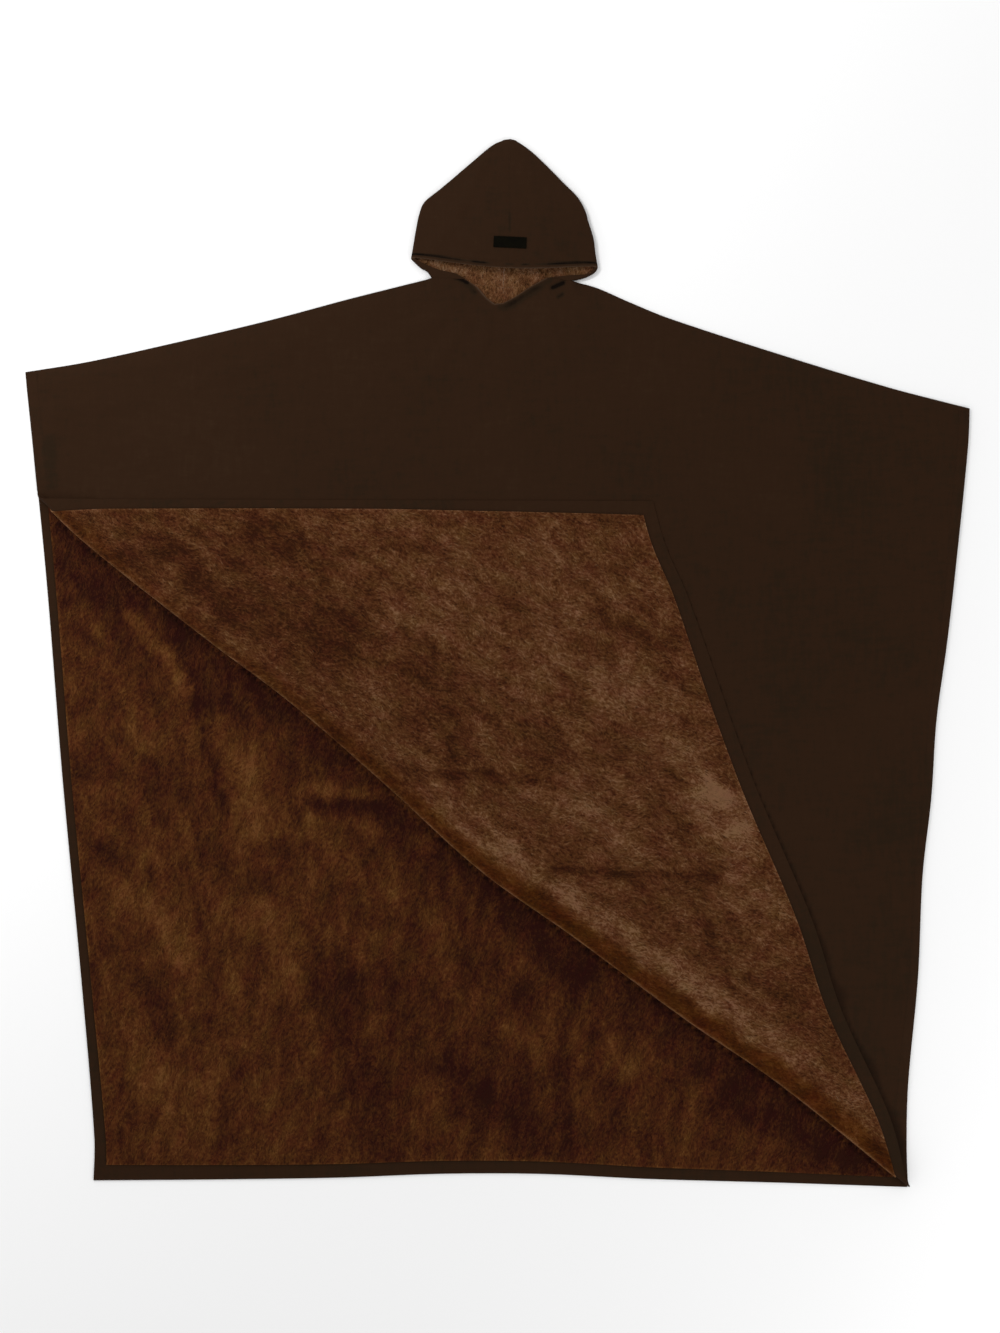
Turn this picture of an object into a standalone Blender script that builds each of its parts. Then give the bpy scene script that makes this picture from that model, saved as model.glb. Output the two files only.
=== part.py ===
"""A pull-over hooded cape laid flat on its back, with the front's lower left corner turned up.

The front and the back are each a smooth shell with a plush lining. They are sewn together along the
sloping shoulders and open down both sides. The peaked hood lies flat above the neck, face up.

+Z is up, +Y runs from hem to hood, and the underside lies at z = 0 with the origin at its middle.
"""

import math
from collections import namedtuple

import bmesh
import bpy
from mathutils import Vector

MM = 0.001

# Cloth thicknesses, and the gap that sewn pieces keep.
SHELL = 1.0 * MM
PLUSH = 3.0 * MM
FACING = 1.0 * MM
GAP = 0.3 * MM
SEAM_HALF = GAP / 2

# The shell is turned in this far along the open edges, and the lining ends just short of it.
TURN_IN = 22.0 * MM
LINING_CLEAR = 0.5 * MM

# Corners of the two panels as they lie.
TIP_LEFT = Vector((-750.0, 462.7)) * MM
TIP_RIGHT = Vector((750.0, 405.0)) * MM
HEM_LEFT = Vector((-642.1, -821.4)) * MM
HEM_RIGHT = Vector((651.6, -832.0)) * MM

# The hood's own axes: the middle of its brow, and how far it leans to the right.
BROW = Vector((11.1, 636.5)) * MM
HOOD_LEAN = math.radians(2.76)

# The front folds along a line from its left side to its lower right corner.
FOLD_START = Vector((-728.5, 261.0)) * MM
FOLD_END = HEM_RIGHT
FLAP_CORNER = Vector((246.8, 257.9)) * MM
ROLL_RADIUS = 7.0 * MM
ROLL_STEPS = 6
SETTLE = 70.0 * MM
SETTLE_STEPS = 3
EDGE_FADE = 60.0 * MM
BARE_FROM = 45.0 * MM

# The panels are sliced into a grid this wide, and points closer than MERGE become one.
GRID = 100.0 * MM
SLICE_SNAP = 0.2 * MM
MERGE = 1.5 * MM

# How many points stand along each drawn edge.
LEFT_SIDE_POINTS = 9
SHORT_SIDE_POINTS = 2
HEM_POINTS = 11
RIGHT_SIDE_POINTS = 11
SHOULDER_POINTS = 8
FLAP_SIDE_POINTS = 7
FLAP_HEM_POINTS = 9

# Heights of the middle of each pair of layers, between its shell and its lining.
BACK_LINING_Z = SHELL + GAP
BACK_TOP = BACK_LINING_Z + PLUSH
FRONT_Z = BACK_TOP + GAP + PLUSH + SEAM_HALF
FLAP_Z = FRONT_Z + SEAM_HALF + SHELL + GAP + SHELL + SEAM_HALF
OPEN_EDGE_Z = SHELL + GAP + FACING + GAP + FACING + SEAM_HALF
SEWN_EDGE_Z = SHELL + SEAM_HALF

INNER, OPEN_EDGE, SEWN_EDGE, NECK_EDGE = range(4)

Cloth = namedtuple("Cloth", "colour roughness")
SHELL_CLOTH = Cloth((0.027, 0.013, 0.007), 0.85)
PLUSH_CLOTH = Cloth((0.080, 0.030, 0.010), 0.95)
PATCH_CLOTH = Cloth((0.002, 0.002, 0.001), 0.7)


def table(columns, *rows):
    """Rows with named columns."""
    row_type = namedtuple("Row", columns)
    return [row_type(*row) for row in rows]


# How far each edge bows in from the straight line between its corners, in mm.
LEFT_SIDE = table(
    "share bow", (0, 0), (0.25, 5.5), (0.5, 4.5), (0.75, 7.5), (0.95, 7), (1, 0)
)
HEM = table(
    "share bow", (0, 0), (0.15, 3), (0.3, 7.5), (0.43, 15), (0.55, 16), (0.68, 9.5), (0.85, 5), (1, 0)
)
RIGHT_SIDE = table(
    "share bow", (0, 0), (0.05, 7), (0.13, 12.5), (0.27, 10.5), (0.4, 16), (0.5, 12),
    (0.6, 13.5), (0.7, 6.5), (0.8, 2), (0.95, -2), (1, 0)
)
RIGHT_SHOULDER = table(
    "share bow", (0, 0), (0.07, 3), (0.2, 7.5), (0.45, 10), (0.75, 9), (0.85, 4), (0.94, -2), (1, 0)
)
LEFT_SHOULDER = table(
    "share bow", (0, 0), (0.2, 2.5), (0.4, 7), (0.65, 8), (0.85, 6.5), (1, 0)
)
STRAIGHT = table("share bow", (0, 0), (1, 0))

# How far the flap's hem edge and the fold line bow out, in mm.
FLAP_HEM = table(
    "share bow", (0, 0), (0.06, -6), (0.14, -1), (0.4, -5), (0.61, 6), (0.74, 0), (0.9, 13), (1, 0)
)
FOLD_BOW = table(
    "share bow", (0, 0), (0.06, 9), (0.2, 9), (0.29, 5), (0.4, 13), (0.52, 27), (0.62, 18),
    (0.75, 10), (0.85, -2), (1, 0)
)

# The hood from brow to peak, in mm: half widths, height over the seam, height of the rolled side.
HOOD_ROWS = table(
    "up left right crown loft",
    (0, 148.5, 148.5, 26, 12),
    (20, 146, 144, 28, 13),
    (45, 143, 139.5, 29, 13),
    (70, 139, 130.5, 28, 13),
    (90, 131.5, 123.5, 26, 13),
    (110, 109.5, 110.5, 23.5, 12.5),
    (127, 91, 92, 21, 12),
    (144, 73, 73.5, 19, 12),
    (160, 56, 56, 17, 11.5),
    (177, 38, 36, 15, 11),
    (188, 24, 20, 12.5, 10.5),
    (193, 13, 11, 10.6, 10),
)
PEAK_UP = 196.0
PEAK_Z = 5.0 * MM
PEAK_MERGE = 0.05 * MM
BROW_DIP = 10.6

# Below the brow the hood is open on top. Its lower lip runs from the side to the neck, in mm.
LEFT_NECK = table(
    "lip lip_up side side_up nape_up",
    (60, -29, 114, -30, -40),
    (78, -21, 122, -20.5, -32),
    (102, -16.8, 132, -15.5, -24),
    (126, -8.4, 141, -8.5, -16),
    (141.5, -1.5, 148.3, -1.5, -8),
)
RIGHT_NECK = table(
    "lip lip_up side side_up nape_up",
    (68.5, -20.5, 108, -24, -40),
    (105, -15.3, 127, -19, -32),
    (131, -12.5, 138, -13.5, -24),
    (138.3, -8, 145, -8, -16),
    (141.5, -2, 148.3, -2, -8),
)
NECK_LOFT = 10.6

# Steps across half the hood: over its top, round its side and under it.
TOP_STEPS = 5
SIDE_STEPS = 4
UNDER_STEPS = 2
HOOD_STEPS = TOP_STEPS + SIDE_STEPS + UNDER_STEPS
BROW_HEM = 6.0
LINING_SHORT = 2
NAPE_ROWS = 3

# The front's neckline between the hood's two lips, left to right, in mm on the hood's axes.
NECK_V = table(
    "across up", (-40, -42), (-25, -58), (-12, -66.5), (1, -64.5), (19, -54), (42, -37)
)

# The patch: its middle and its size on the hood's axes, in mm.
PATCH_MIDDLE = Vector((7.4, 29.8))
PATCH_SIZE = Vector((51.8, 17.4))
PATCH_STEPS = 4

# Broad swells in the cloth, each along a line from one place to another, in mm.
FRONT_SWELLS = table(
    "x y to_x to_y half_width height",
    (-10, 490, 20, 390, 75, 4),
    (360, 430, 500, 330, 80, 4),
    (-430, 380, -560, 350, 60, 3),
    (600, 240, 590, -60, 75, 4),
)
FLAP_SWELLS = table(
    "x y to_x to_y half_width height",
    (-150, 120, 110, 60, 95, 4),
    (60, -150, 260, -170, 90, 4),
    (330, -330, 400, -440, 70, 3),
)
BACK_SWELLS = table(
    "x y to_x to_y half_width height",
    (-590, -20, -500, -150, 85, 5),
    (-420, -320, -330, -640, 95, 4),
    (-60, -640, 120, -690, 95, 4),
)

Fold = namedtuple("Fold", "along across length")


def fold_axes():
    """Unit vectors along the fold line and across it towards the front, and its length."""
    line = FOLD_END - FOLD_START
    along = line.normalized()
    return Fold(along, Vector((-along.y, along.x)), line.length)


FOLD = fold_axes()
HALF_TURN = math.pi * ROLL_RADIUS / 2
ROLL_REACH = ROLL_RADIUS + SEAM_HALF + PLUSH


def read(rows, at):
    """A smooth curve through a table's second column, read at a value of its first."""
    at = min(max(at, rows[0][0]), rows[-1][0])
    i = max(k for k in range(len(rows) - 1) if rows[k][0] <= at)
    x0, y0 = rows[i][:2]
    x1, y1 = rows[i + 1][:2]
    before = rows[max(i - 1, 0)]
    after = rows[min(i + 2, len(rows) - 1)]
    slope0 = (y1 - before[1]) / (x1 - before[0])
    slope1 = (after[1] - y0) / (after[0] - x0)
    t = (at - x0) / (x1 - x0)
    level = y0 * (1 + 2 * t) * (1 - t) ** 2 + y1 * t * t * (3 - 2 * t)
    return level + (x1 - x0) * (slope0 * t * (1 - t) ** 2 - slope1 * t * t * (1 - t))


def edge(start, end, bows, count, until=1.0):
    """count points along a bowed edge, without its last. A bow to the left of it is positive."""
    line = end - start
    left = Vector((-line.y, line.x)).normalized()
    shares = [until * i / count for i in range(count)]
    return [start + line * share + left * read(bows, share) * MM for share in shares]


def on_hood(across, up):
    """A place in the plan from the hood's own axes, in mm."""
    right = Vector((math.cos(HOOD_LEAN), -math.sin(HOOD_LEAN)))
    upward = Vector((math.sin(HOOD_LEAN), math.cos(HOOD_LEAN)))
    return BROW + (right * across + upward * up) * MM


def neck_ends(row, side):
    """The ends of the hood's lower lip at the neck, one seam gap below them: lip, then side."""
    gap = GAP / MM
    return on_hood(side * row.lip, row.lip_up - gap), on_hood(side * row.side, row.side_up - gap)


def labelled(points, kind):
    return [(point, kind) for point in points]


def upper_outline(neckline):
    """The outline that both panels share, from the lower right corner up and over to the left tip."""
    right_end = neck_ends(RIGHT_NECK[0], 1)[1]
    left_end = neck_ends(LEFT_NECK[0], -1)[1]
    return (
        labelled(edge(HEM_RIGHT, TIP_RIGHT, RIGHT_SIDE, RIGHT_SIDE_POINTS), OPEN_EDGE)
        + labelled(edge(TIP_RIGHT, right_end, RIGHT_SHOULDER, SHOULDER_POINTS), SEWN_EDGE)
        + labelled([right_end] + neckline, NECK_EDGE)
        + labelled(edge(left_end, TIP_LEFT, LEFT_SHOULDER, SHOULDER_POINTS), SEWN_EDGE)
    )


def back_outline():
    """The back's outline, anticlockwise. Each point has the kind of the edge that it starts."""
    nape = on_hood(0, LEFT_NECK[0].nape_up - GAP / MM)
    return (
        labelled(edge(TIP_LEFT, HEM_LEFT, LEFT_SIDE, LEFT_SIDE_POINTS), OPEN_EDGE)
        + labelled(edge(HEM_LEFT, HEM_RIGHT, HEM, HEM_POINTS), OPEN_EDGE)
        + upper_outline([nape])
    )


def fold_shift(along):
    """How far the flat cloth lies beyond its place in the plan, once roll and bow are let out."""
    return HALF_TURN - ROLL_REACH + read(FOLD_BOW, along / FOLD.length) * MM


def flat_from_plan(point, turned):
    """Where a place in the plan lies in the cloth before it is folded."""
    away = point - FOLD_START
    along = away.dot(FOLD.along)
    across = away.dot(FOLD.across) + fold_shift(along)
    return FOLD_START + FOLD.along * along + FOLD.across * (-across if turned else across)


def front_outline():
    """The front's outline before it is folded, anticlockwise."""
    fold_share = (TIP_LEFT.y - FOLD_START.y) / (TIP_LEFT.y - HEM_LEFT.y)
    side = edge(TIP_LEFT, HEM_LEFT, LEFT_SIDE, SHORT_SIDE_POINTS, until=fold_share)
    flap = edge(FOLD_START, FLAP_CORNER, STRAIGHT, FLAP_SIDE_POINTS)[1:]
    flap += edge(FLAP_CORNER, FOLD_END, FLAP_HEM, FLAP_HEM_POINTS)
    right_lip = neck_ends(RIGHT_NECK[0], 1)[0]
    left_lip = neck_ends(LEFT_NECK[0], -1)[0]
    vee = [on_hood(row.across, row.up) for row in reversed(NECK_V)]
    upper = upper_outline([right_lip] + vee + [left_lip])
    points = labelled([flat_from_plan(p, False) for p in side], OPEN_EDGE)
    points += labelled([FOLD_START], OPEN_EDGE)
    points += labelled([flat_from_plan(p, True) for p in flap], OPEN_EDGE)
    points += labelled([FOLD_END], OPEN_EDGE)
    points += [(flat_from_plan(p, False), kind) for p, kind in upper[1:]]
    return points


def slice_planes(outline, folded):
    """Places and directions of the planes that cut the flat cloth into a grid along the fold."""
    along = [(p - FOLD_START).dot(FOLD.along) for p, kind in outline]
    across = [(p - FOLD_START).dot(FOLD.across) for p, kind in outline]
    planes = []
    for k in range(math.ceil(min(along) / GRID), math.floor(max(along) / GRID) + 1):
        planes.append((FOLD.along * k * GRID, FOLD.along))
    start = HALF_TURN if folded else BARE_FROM
    if folded:
        for k in range(1, ROLL_STEPS):
            planes.append((FOLD.across * HALF_TURN * (2 * k / ROLL_STEPS - 1), FOLD.across))
        for k in range(1, SETTLE_STEPS):
            planes.append((FOLD.across * (-HALF_TURN - SETTLE * k / SETTLE_STEPS), FOLD.across))
    k = 0
    while start + k * GRID < max(max(across), -min(across)):
        planes.append((FOLD.across * (start + k * GRID), FOLD.across))
        planes.append((FOLD.across * -(start + k * GRID), FOLD.across))
        k += 1
    return planes


def kind_at(point, outline):
    """The kind of the nearest edge if the place lies in its turned-in border, or INNER."""
    nearest, kind = TURN_IN, INNER
    for (start, edge_kind), (end, _) in zip(outline, outline[1:] + outline[:1]):
        line = end - start
        share = min(max((point - start).dot(line) / line.length_squared, 0), 1)
        away = (point - start - line * share).length
        if away < nearest:
            nearest, kind = away, edge_kind
    return kind


def flat_cloth(outline, folded=False, sliced=True):
    """The flat cut with its turned-in border. Each face's material index holds its kind."""
    cloth = bmesh.new()
    corners = [cloth.verts.new((p.x, p.y, 0)) for p, kind in outline]
    face = cloth.faces.new(corners)
    face.normal_update()
    bmesh.ops.inset_individual(cloth, faces=[face], thickness=TURN_IN, use_even_offset=True)
    start = Vector((FOLD_START.x, FOLD_START.y, 0))
    for place, direction in slice_planes(outline, folded) if sliced else []:
        bmesh.ops.bisect_plane(
            cloth,
            geom=cloth.verts[:] + cloth.edges[:] + cloth.faces[:],
            dist=SLICE_SNAP,
            plane_co=start + Vector((place.x, place.y, 0)),
            plane_no=(direction.x, direction.y, 0),
        )
    if sliced:
        bmesh.ops.remove_doubles(cloth, verts=cloth.verts[:], dist=MERGE)
    bmesh.ops.triangulate(cloth, faces=cloth.faces[:])
    for face in cloth.faces:
        face.material_index = kind_at(face.calc_center_median().xy, outline)
    return cloth


def keep_kinds(cloth, kinds, clear=0.0):
    """A copy with the faces of these kinds only, its edge drawn in by a clearance."""
    copy = cloth.copy()
    others = [face for face in copy.faces if face.material_index not in kinds]
    bmesh.ops.delete(copy, geom=others, context="FACES")
    if not clear:
        return copy
    moves = {}
    for rim in (e for e in copy.edges if e.is_boundary):
        line = (rim.verts[1].co - rim.verts[0].co).normalized()
        inward = Vector((-line.y, line.x, 0))
        middle = (rim.verts[0].co + rim.verts[1].co) / 2
        if inward.dot(rim.link_faces[0].calc_center_median() - middle) < 0:
            inward = -inward
        for vert in rim.verts:
            moves.setdefault(vert, []).append(inward)
    for vert, inwards in moves.items():
        total = sum(inwards, Vector())
        vert.co += total * (clear * 2 / max(total.length_squared, 1.0))
    return copy


def swell(point, rows):
    """The height that broad swells add at a place in the plan. Each fades out at its half width."""
    height = 0.0
    for row in rows:
        start = Vector((row.x, row.y)) * MM
        line = Vector((row.to_x, row.to_y)) * MM - start
        share = min(max((point - start).dot(line) / line.length_squared, 0), 1)
        away = (point - start - line * share).length / (row.half_width * MM)
        height += row.height * MM * max(1 - away * away, 0) ** 2
    return height


def vertex_kind(vert):
    """The kind of edge that a vertex of the whole flat cloth lies on, or INNER."""
    if not vert.is_boundary:
        return INNER
    touching = {face.material_index for face in vert.link_faces}
    for kind in (NECK_EDGE, OPEN_EDGE, SEWN_EDGE):
        if kind in touching:
            return kind
    return INNER


def fold_place(flat, kind):
    """Where a point of the front's cloth comes to lie, and which way its shell side faces there."""
    away = Vector((flat.x, flat.y)) - FOLD_START
    along = away.dot(FOLD.along)
    across = away.dot(FOLD.across)
    bow = read(FOLD_BOW, along / FOLD.length) * MM
    turn = min(max((HALF_TURN - across) / ROLL_RADIUS, 0), math.pi)
    inside = max(across - HALF_TURN, -HALF_TURN - across, 0)
    plan_across = ROLL_REACH - bow - ROLL_RADIUS * math.sin(turn) + inside
    plan = FOLD_START + FOLD.along * along + FOLD.across * plan_across
    height = FRONT_Z + ROLL_RADIUS * (1 - math.cos(turn))
    if turn == 0:
        height += swell(plan, FRONT_SWELLS)
        fade = min(inside / EDGE_FADE, 1)
        edge_height = {OPEN_EDGE: OPEN_EDGE_Z, SEWN_EDGE: SEWN_EDGE_Z}.get(kind, height)
        height += (edge_height - height) * fade
    if turn == math.pi:
        settled = 0.5 - 0.5 * math.cos(math.pi * min(inside / SETTLE, 1))
        height += (FLAP_Z + swell(plan, FLAP_SWELLS) - height) * settled
    facing = FOLD.across * math.sin(turn)
    return Vector((plan.x, plan.y, height)), Vector((facing.x, facing.y, math.cos(turn)))


def material(name, cloth):
    made = bpy.data.materials.new(name)
    made.use_nodes = True
    shader = made.node_tree.nodes["Principled BSDF"]
    shader.inputs["Base Color"].default_value = (*cloth.colour, 1)
    shader.inputs["Roughness"].default_value = cloth.roughness
    shader.inputs["Metallic"].default_value = 0
    made.diffuse_color = (*cloth.colour, 1)
    return made


def cloth_object(name, surface, thickness, offset, cloth, collection, even=True):
    """An open surface made into a wall. Offset 1 thickens it along its normals, -1 against them."""
    for face in surface.faces:
        face.material_index = 0
        face.smooth = True
    mesh = bpy.data.meshes.new(name)
    surface.to_mesh(mesh)
    surface.free()
    made = bpy.data.objects.new(name, mesh)
    collection.objects.link(made)
    mesh.materials.append(material(name, cloth))
    wall = made.modifiers.new("wall", "SOLIDIFY")
    wall.thickness = thickness
    wall.offset = offset
    wall.use_even_offset = even
    return made


def make_back(collection):
    """The back lies flat. Only its lining swells, where the front has left it bare."""
    outline = back_outline()
    plain = flat_cloth(outline, sliced=False)
    facing = keep_kinds(plain, {OPEN_EDGE})
    for vert in facing.verts:
        vert.co.z = BACK_LINING_Z
    cloth_object("back_edge_facing", facing, FACING, 1, SHELL_CLOTH, collection)
    cloth_object("back_shell", plain, SHELL, 1, SHELL_CLOTH, collection)
    sliced = flat_cloth(outline)
    lining = keep_kinds(sliced, {INNER, NECK_EDGE}, LINING_CLEAR)
    sliced.free()
    for vert in lining.verts:
        vert.co.z = BACK_LINING_Z + swell(vert.co.xy, BACK_SWELLS)
    cloth_object("back_lining", lining, PLUSH, 1, PLUSH_CLOTH, collection)


def make_front(collection):
    """The front is cut flat and then folded, so that shell, lining and facing turn up together."""
    cloth = flat_cloth(front_outline(), folded=True)
    kinds = {vert.co.to_tuple(6): vertex_kind(vert) for vert in cloth.verts}
    layers = (
        ("front_shell", {INNER, OPEN_EDGE, SEWN_EDGE, NECK_EDGE}, 1, SHELL, 0.0, SHELL_CLOTH),
        ("front_edge_facing", {OPEN_EDGE}, -1, FACING, 0.0, SHELL_CLOTH),
        ("front_lining", {INNER}, -1, PLUSH, LINING_CLEAR, PLUSH_CLOTH),
    )
    for name, kept, way, thickness, clear, kind_of_cloth in layers:
        layer = keep_kinds(cloth, kept, clear)
        for vert in layer.verts:
            kind = kinds.get(vert.co.to_tuple(6), INNER)
            place, facing = fold_place(vert.co, kind)
            vert.co = place + facing * (way * SEAM_HALF)
        cloth_object(name, layer, thickness, way, kind_of_cloth, collection)
    cloth.free()


def crown_height(across, row, half_width):
    """The height of the hood's top over a place across it, in mm."""
    share = across / (half_width - row.loft / 2)
    return row.loft + (row.crown - row.loft) * (1 - share * share)


def section_up(row, across, over_top):
    """Where along the hood a section's point lies, in mm. At the neck each side runs straight."""
    if not hasattr(row, "lip"):
        return row.up
    if over_top:
        return row.lip_up + (row.side_up - row.lip_up) * (across - row.lip) / (row.side - row.lip)
    return row.nape_up + (row.side_up - row.nape_up) * across / row.side


def hood_section(row, side):
    """Points of one half of the hood across its own axes, in mm: over the top, round and under."""
    neck = hasattr(row, "lip")
    half_width = row.side if neck else (row.left if side < 0 else row.right)
    loft = NECK_LOFT if neck else row.loft
    radius = loft / 2
    fold = half_width - radius
    seam = SEAM_HALF / MM
    points = []
    for k in range(TOP_STEPS):
        start = row.lip if neck else seam
        across = start + (fold - start) * k / TOP_STEPS
        up = section_up(row, across, True)
        if row is HOOD_ROWS[0]:
            up -= BROW_DIP * (1 - (across / fold) ** 2) ** 1.5
        points.append((across, up, loft if neck else crown_height(across, row, half_width)))
    for k in range(SIDE_STEPS):
        angle = math.pi * (0.5 - k / SIDE_STEPS)
        across = fold + radius * math.cos(angle)
        up = section_up(row, across, 2 * k < SIDE_STEPS)
        points.append((across, up, radius + radius * math.sin(angle)))
    for k in range(UNDER_STEPS + 1):
        across = fold + (seam - fold) * k / UNDER_STEPS
        points.append((across, section_up(row, across, False), 0))
    return points


def delete_cells(surface, cells, rows, columns):
    """Deletes the grid's faces whose corners all lie within these rows and columns."""
    gone = [
        face
        for face in surface.faces
        if all(cells[v][0] in rows and cells[v][1] in columns for v in face.verts)
    ]
    bmesh.ops.delete(surface, geom=gone, context="FACES_ONLY")


def hood_surface(side, inset=0.0):
    """Half of the hood, a flattened pouch from the nape round the side to the brow and the peak.

    An inset surface lies inside the plain one, short of the brow and the peak. It has no lower lip,
    and at the nape it keeps only its middle.
    """
    neck_rows = LEFT_NECK if side < 0 else RIGHT_NECK
    sections = [hood_section(row, side) for row in neck_rows + HOOD_ROWS]
    sections.append([(SEAM_HALF / MM, PEAK_UP, PEAK_Z / MM)] * (HOOD_STEPS + 1))
    brow_row = len(neck_rows)
    last_row = len(sections) - 1
    surface = bmesh.new()
    bmesh.ops.create_grid(surface, x_segments=HOOD_STEPS, y_segments=last_row, size=1)
    cells = {}
    for vert in surface.verts:
        row = round((vert.co.y + 1) / 2 * last_row)
        column = round((vert.co.x + 1) / 2 * HOOD_STEPS)
        across, up, height = sections[row][column]
        place = on_hood(side * across, up)
        cells[vert] = row, column
        vert.co = (place.x, place.y, height * MM)
    if side < 0:
        bmesh.ops.reverse_faces(surface, faces=surface.faces[:])
    over_top = range(TOP_STEPS + 1)
    delete_cells(surface, cells, (brow_row - 1, brow_row), over_top)
    if inset:
        surface.normal_update()
        moves = {vert: vert.normal * inset for vert in surface.verts}
        for vert, move in moves.items():
            vert.co -= move
        at = {cell: vert for vert, cell in cells.items()}
        for column in range(TOP_STEPS):
            hem, above = at[brow_row, column], at[brow_row + 1, column]
            hem.co = hem.co.lerp(above.co, BROW_HEM / HOOD_ROWS[1].up)
        delete_cells(surface, cells, range(brow_row), over_top)
        delete_cells(surface, cells, range(NAPE_ROWS), range(HOOD_STEPS))
        peak_rows = range(last_row - LINING_SHORT, last_row + 1)
        delete_cells(surface, cells, peak_rows, range(HOOD_STEPS + 1))
    loose = [vert for vert in surface.verts if not vert.link_faces]
    bmesh.ops.delete(surface, geom=loose, context="VERTS")
    bmesh.ops.remove_doubles(surface, verts=surface.verts[:], dist=PEAK_MERGE)
    return surface


def make_hood(collection):
    """Two shells that meet at the centre seam, each with its lining inside it."""
    for word, side in (("left", -1), ("right", 1)):
        shell = hood_surface(side)
        cloth_object(f"hood_{word}_shell", shell, SHELL, -1, SHELL_CLOTH, collection, False)
        lining = hood_surface(side, SHELL + LINING_CLEAR)
        cloth_object(f"hood_{word}_lining", lining, PLUSH, -1, PLUSH_CLOTH, collection, False)


def make_patch(collection):
    """A plain patch over the seam near the brow, made from the hood's own points and moved out."""
    below, above = HOOD_ROWS[1], HOOD_ROWS[2]
    surface = bmesh.new()
    bmesh.ops.create_grid(surface, x_segments=PATCH_STEPS, y_segments=1, size=0.5)
    for vert in surface.verts:
        across = PATCH_MIDDLE.x + vert.co.x * PATCH_SIZE.x
        up = PATCH_MIDDLE.y + vert.co.y * PATCH_SIZE.y
        share = (up - below.up) / (above.up - below.up)
        low = crown_height(across, below, below.right)
        high = crown_height(across, above, above.right)
        place = on_hood(across, up)
        vert.co = (place.x, place.y, (low + (high - low) * share) * MM + GAP)
    cloth_object("blank_patch", surface, SHELL, 1, PATCH_CLOTH, collection)


def main():
    for leftover in list(bpy.data.objects):
        bpy.data.objects.remove(leftover, do_unlink=True)
    collection = bpy.data.collections.new("hooded_cape")
    bpy.context.scene.collection.children.link(collection)
    make_back(collection)
    make_front(collection)
    make_hood(collection)
    make_patch(collection)


main()
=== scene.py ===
import math
from collections import namedtuple

import bmesh
import bpy
import numpy as np
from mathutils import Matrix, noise


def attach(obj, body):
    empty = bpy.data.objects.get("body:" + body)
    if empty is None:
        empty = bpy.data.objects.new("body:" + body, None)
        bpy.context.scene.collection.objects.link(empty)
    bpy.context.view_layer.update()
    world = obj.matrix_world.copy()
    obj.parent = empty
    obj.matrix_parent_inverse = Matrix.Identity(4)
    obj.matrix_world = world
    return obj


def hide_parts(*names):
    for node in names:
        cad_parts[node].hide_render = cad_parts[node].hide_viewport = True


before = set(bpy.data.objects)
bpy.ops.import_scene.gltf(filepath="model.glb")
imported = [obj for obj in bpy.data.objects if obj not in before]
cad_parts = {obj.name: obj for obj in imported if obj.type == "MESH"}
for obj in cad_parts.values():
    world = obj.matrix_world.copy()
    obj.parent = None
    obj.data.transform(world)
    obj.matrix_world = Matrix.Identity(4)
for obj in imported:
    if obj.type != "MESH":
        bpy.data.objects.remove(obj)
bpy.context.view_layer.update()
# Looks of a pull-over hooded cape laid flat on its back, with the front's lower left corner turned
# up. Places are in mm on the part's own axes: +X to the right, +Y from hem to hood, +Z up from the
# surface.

# Back panel, outer cloth. A smooth, dark brown woven cloth, cut in one piece with sloping shoulders
# and a hollow at the nape. It lies flat with its good side down, and carries all the rest.
MM = 0.001
SHELL = 1.0
GAP = 0.3
SEAM_HALF = GAP / 2
TURN_IN = 22.0
BORDER_STEPS = 3
COLUMNS, ROWS = 176, 168
TIP_LEFT = np.array((-750.0, 462.7))
TIP_RIGHT = np.array((750.0, 405.0))
HEM_LEFT = np.array((-642.1, -821.4))
HEM_RIGHT = np.array((651.6, -832.0))
BROW = np.array((11.1, 636.5))
HOOD_LEAN = math.radians(2.76)
HOOD_RIGHT = np.array((math.cos(HOOD_LEAN), -math.sin(HOOD_LEAN)))
HOOD_UP = np.array((math.sin(HOOD_LEAN), math.cos(HOOD_LEAN)))
NAPE_UP = -40.3
SIDE_SHARE, HEM_SHARE = 0.0155, 0.0172
NECK_SHARES = (0.43, 0.507, 0.581)
NECK_END_LEFT = (-114.0, -30.3)
NECK_END_RIGHT = (108.0, -24.3)


def table(columns, *rows):
    """Rows with named columns."""
    row_type = namedtuple("Row", columns)
    return [row_type(*row) for row in rows]


LEFT_SIDE = table(
    "share bow", (0, 0), (0.25, 5.5), (0.5, 4.5), (0.75, 7.5), (0.95, 7), (1, 0)
)
HEM = table(
    "share bow", (0, 0), (0.15, 3), (0.3, 7.5), (0.43, 15), (0.55, 16), (0.68, 9.5), (0.85, 5),
    (1, 0)
)
RIGHT_SIDE = table(
    "share bow", (0, 0), (0.05, 7), (0.13, 12.5), (0.27, 10.5), (0.4, 16), (0.5, 12),
    (0.6, 13.5), (0.7, 6.5), (0.8, 2), (0.95, -2), (1, 0)
)
RIGHT_SHOULDER = table(
    "share bow", (0, 0), (0.07, 3), (0.2, 7.5), (0.45, 10), (0.75, 9), (0.85, 4), (0.94, -2), (1, 0)
)
LEFT_SHOULDER = table(
    "share bow", (0, 0), (0.2, 2.5), (0.4, 7), (0.65, 8), (0.85, 6.5), (1, 0)
)
STRAIGHT = table("share bow", (0, 0), (1, 0))


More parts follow.
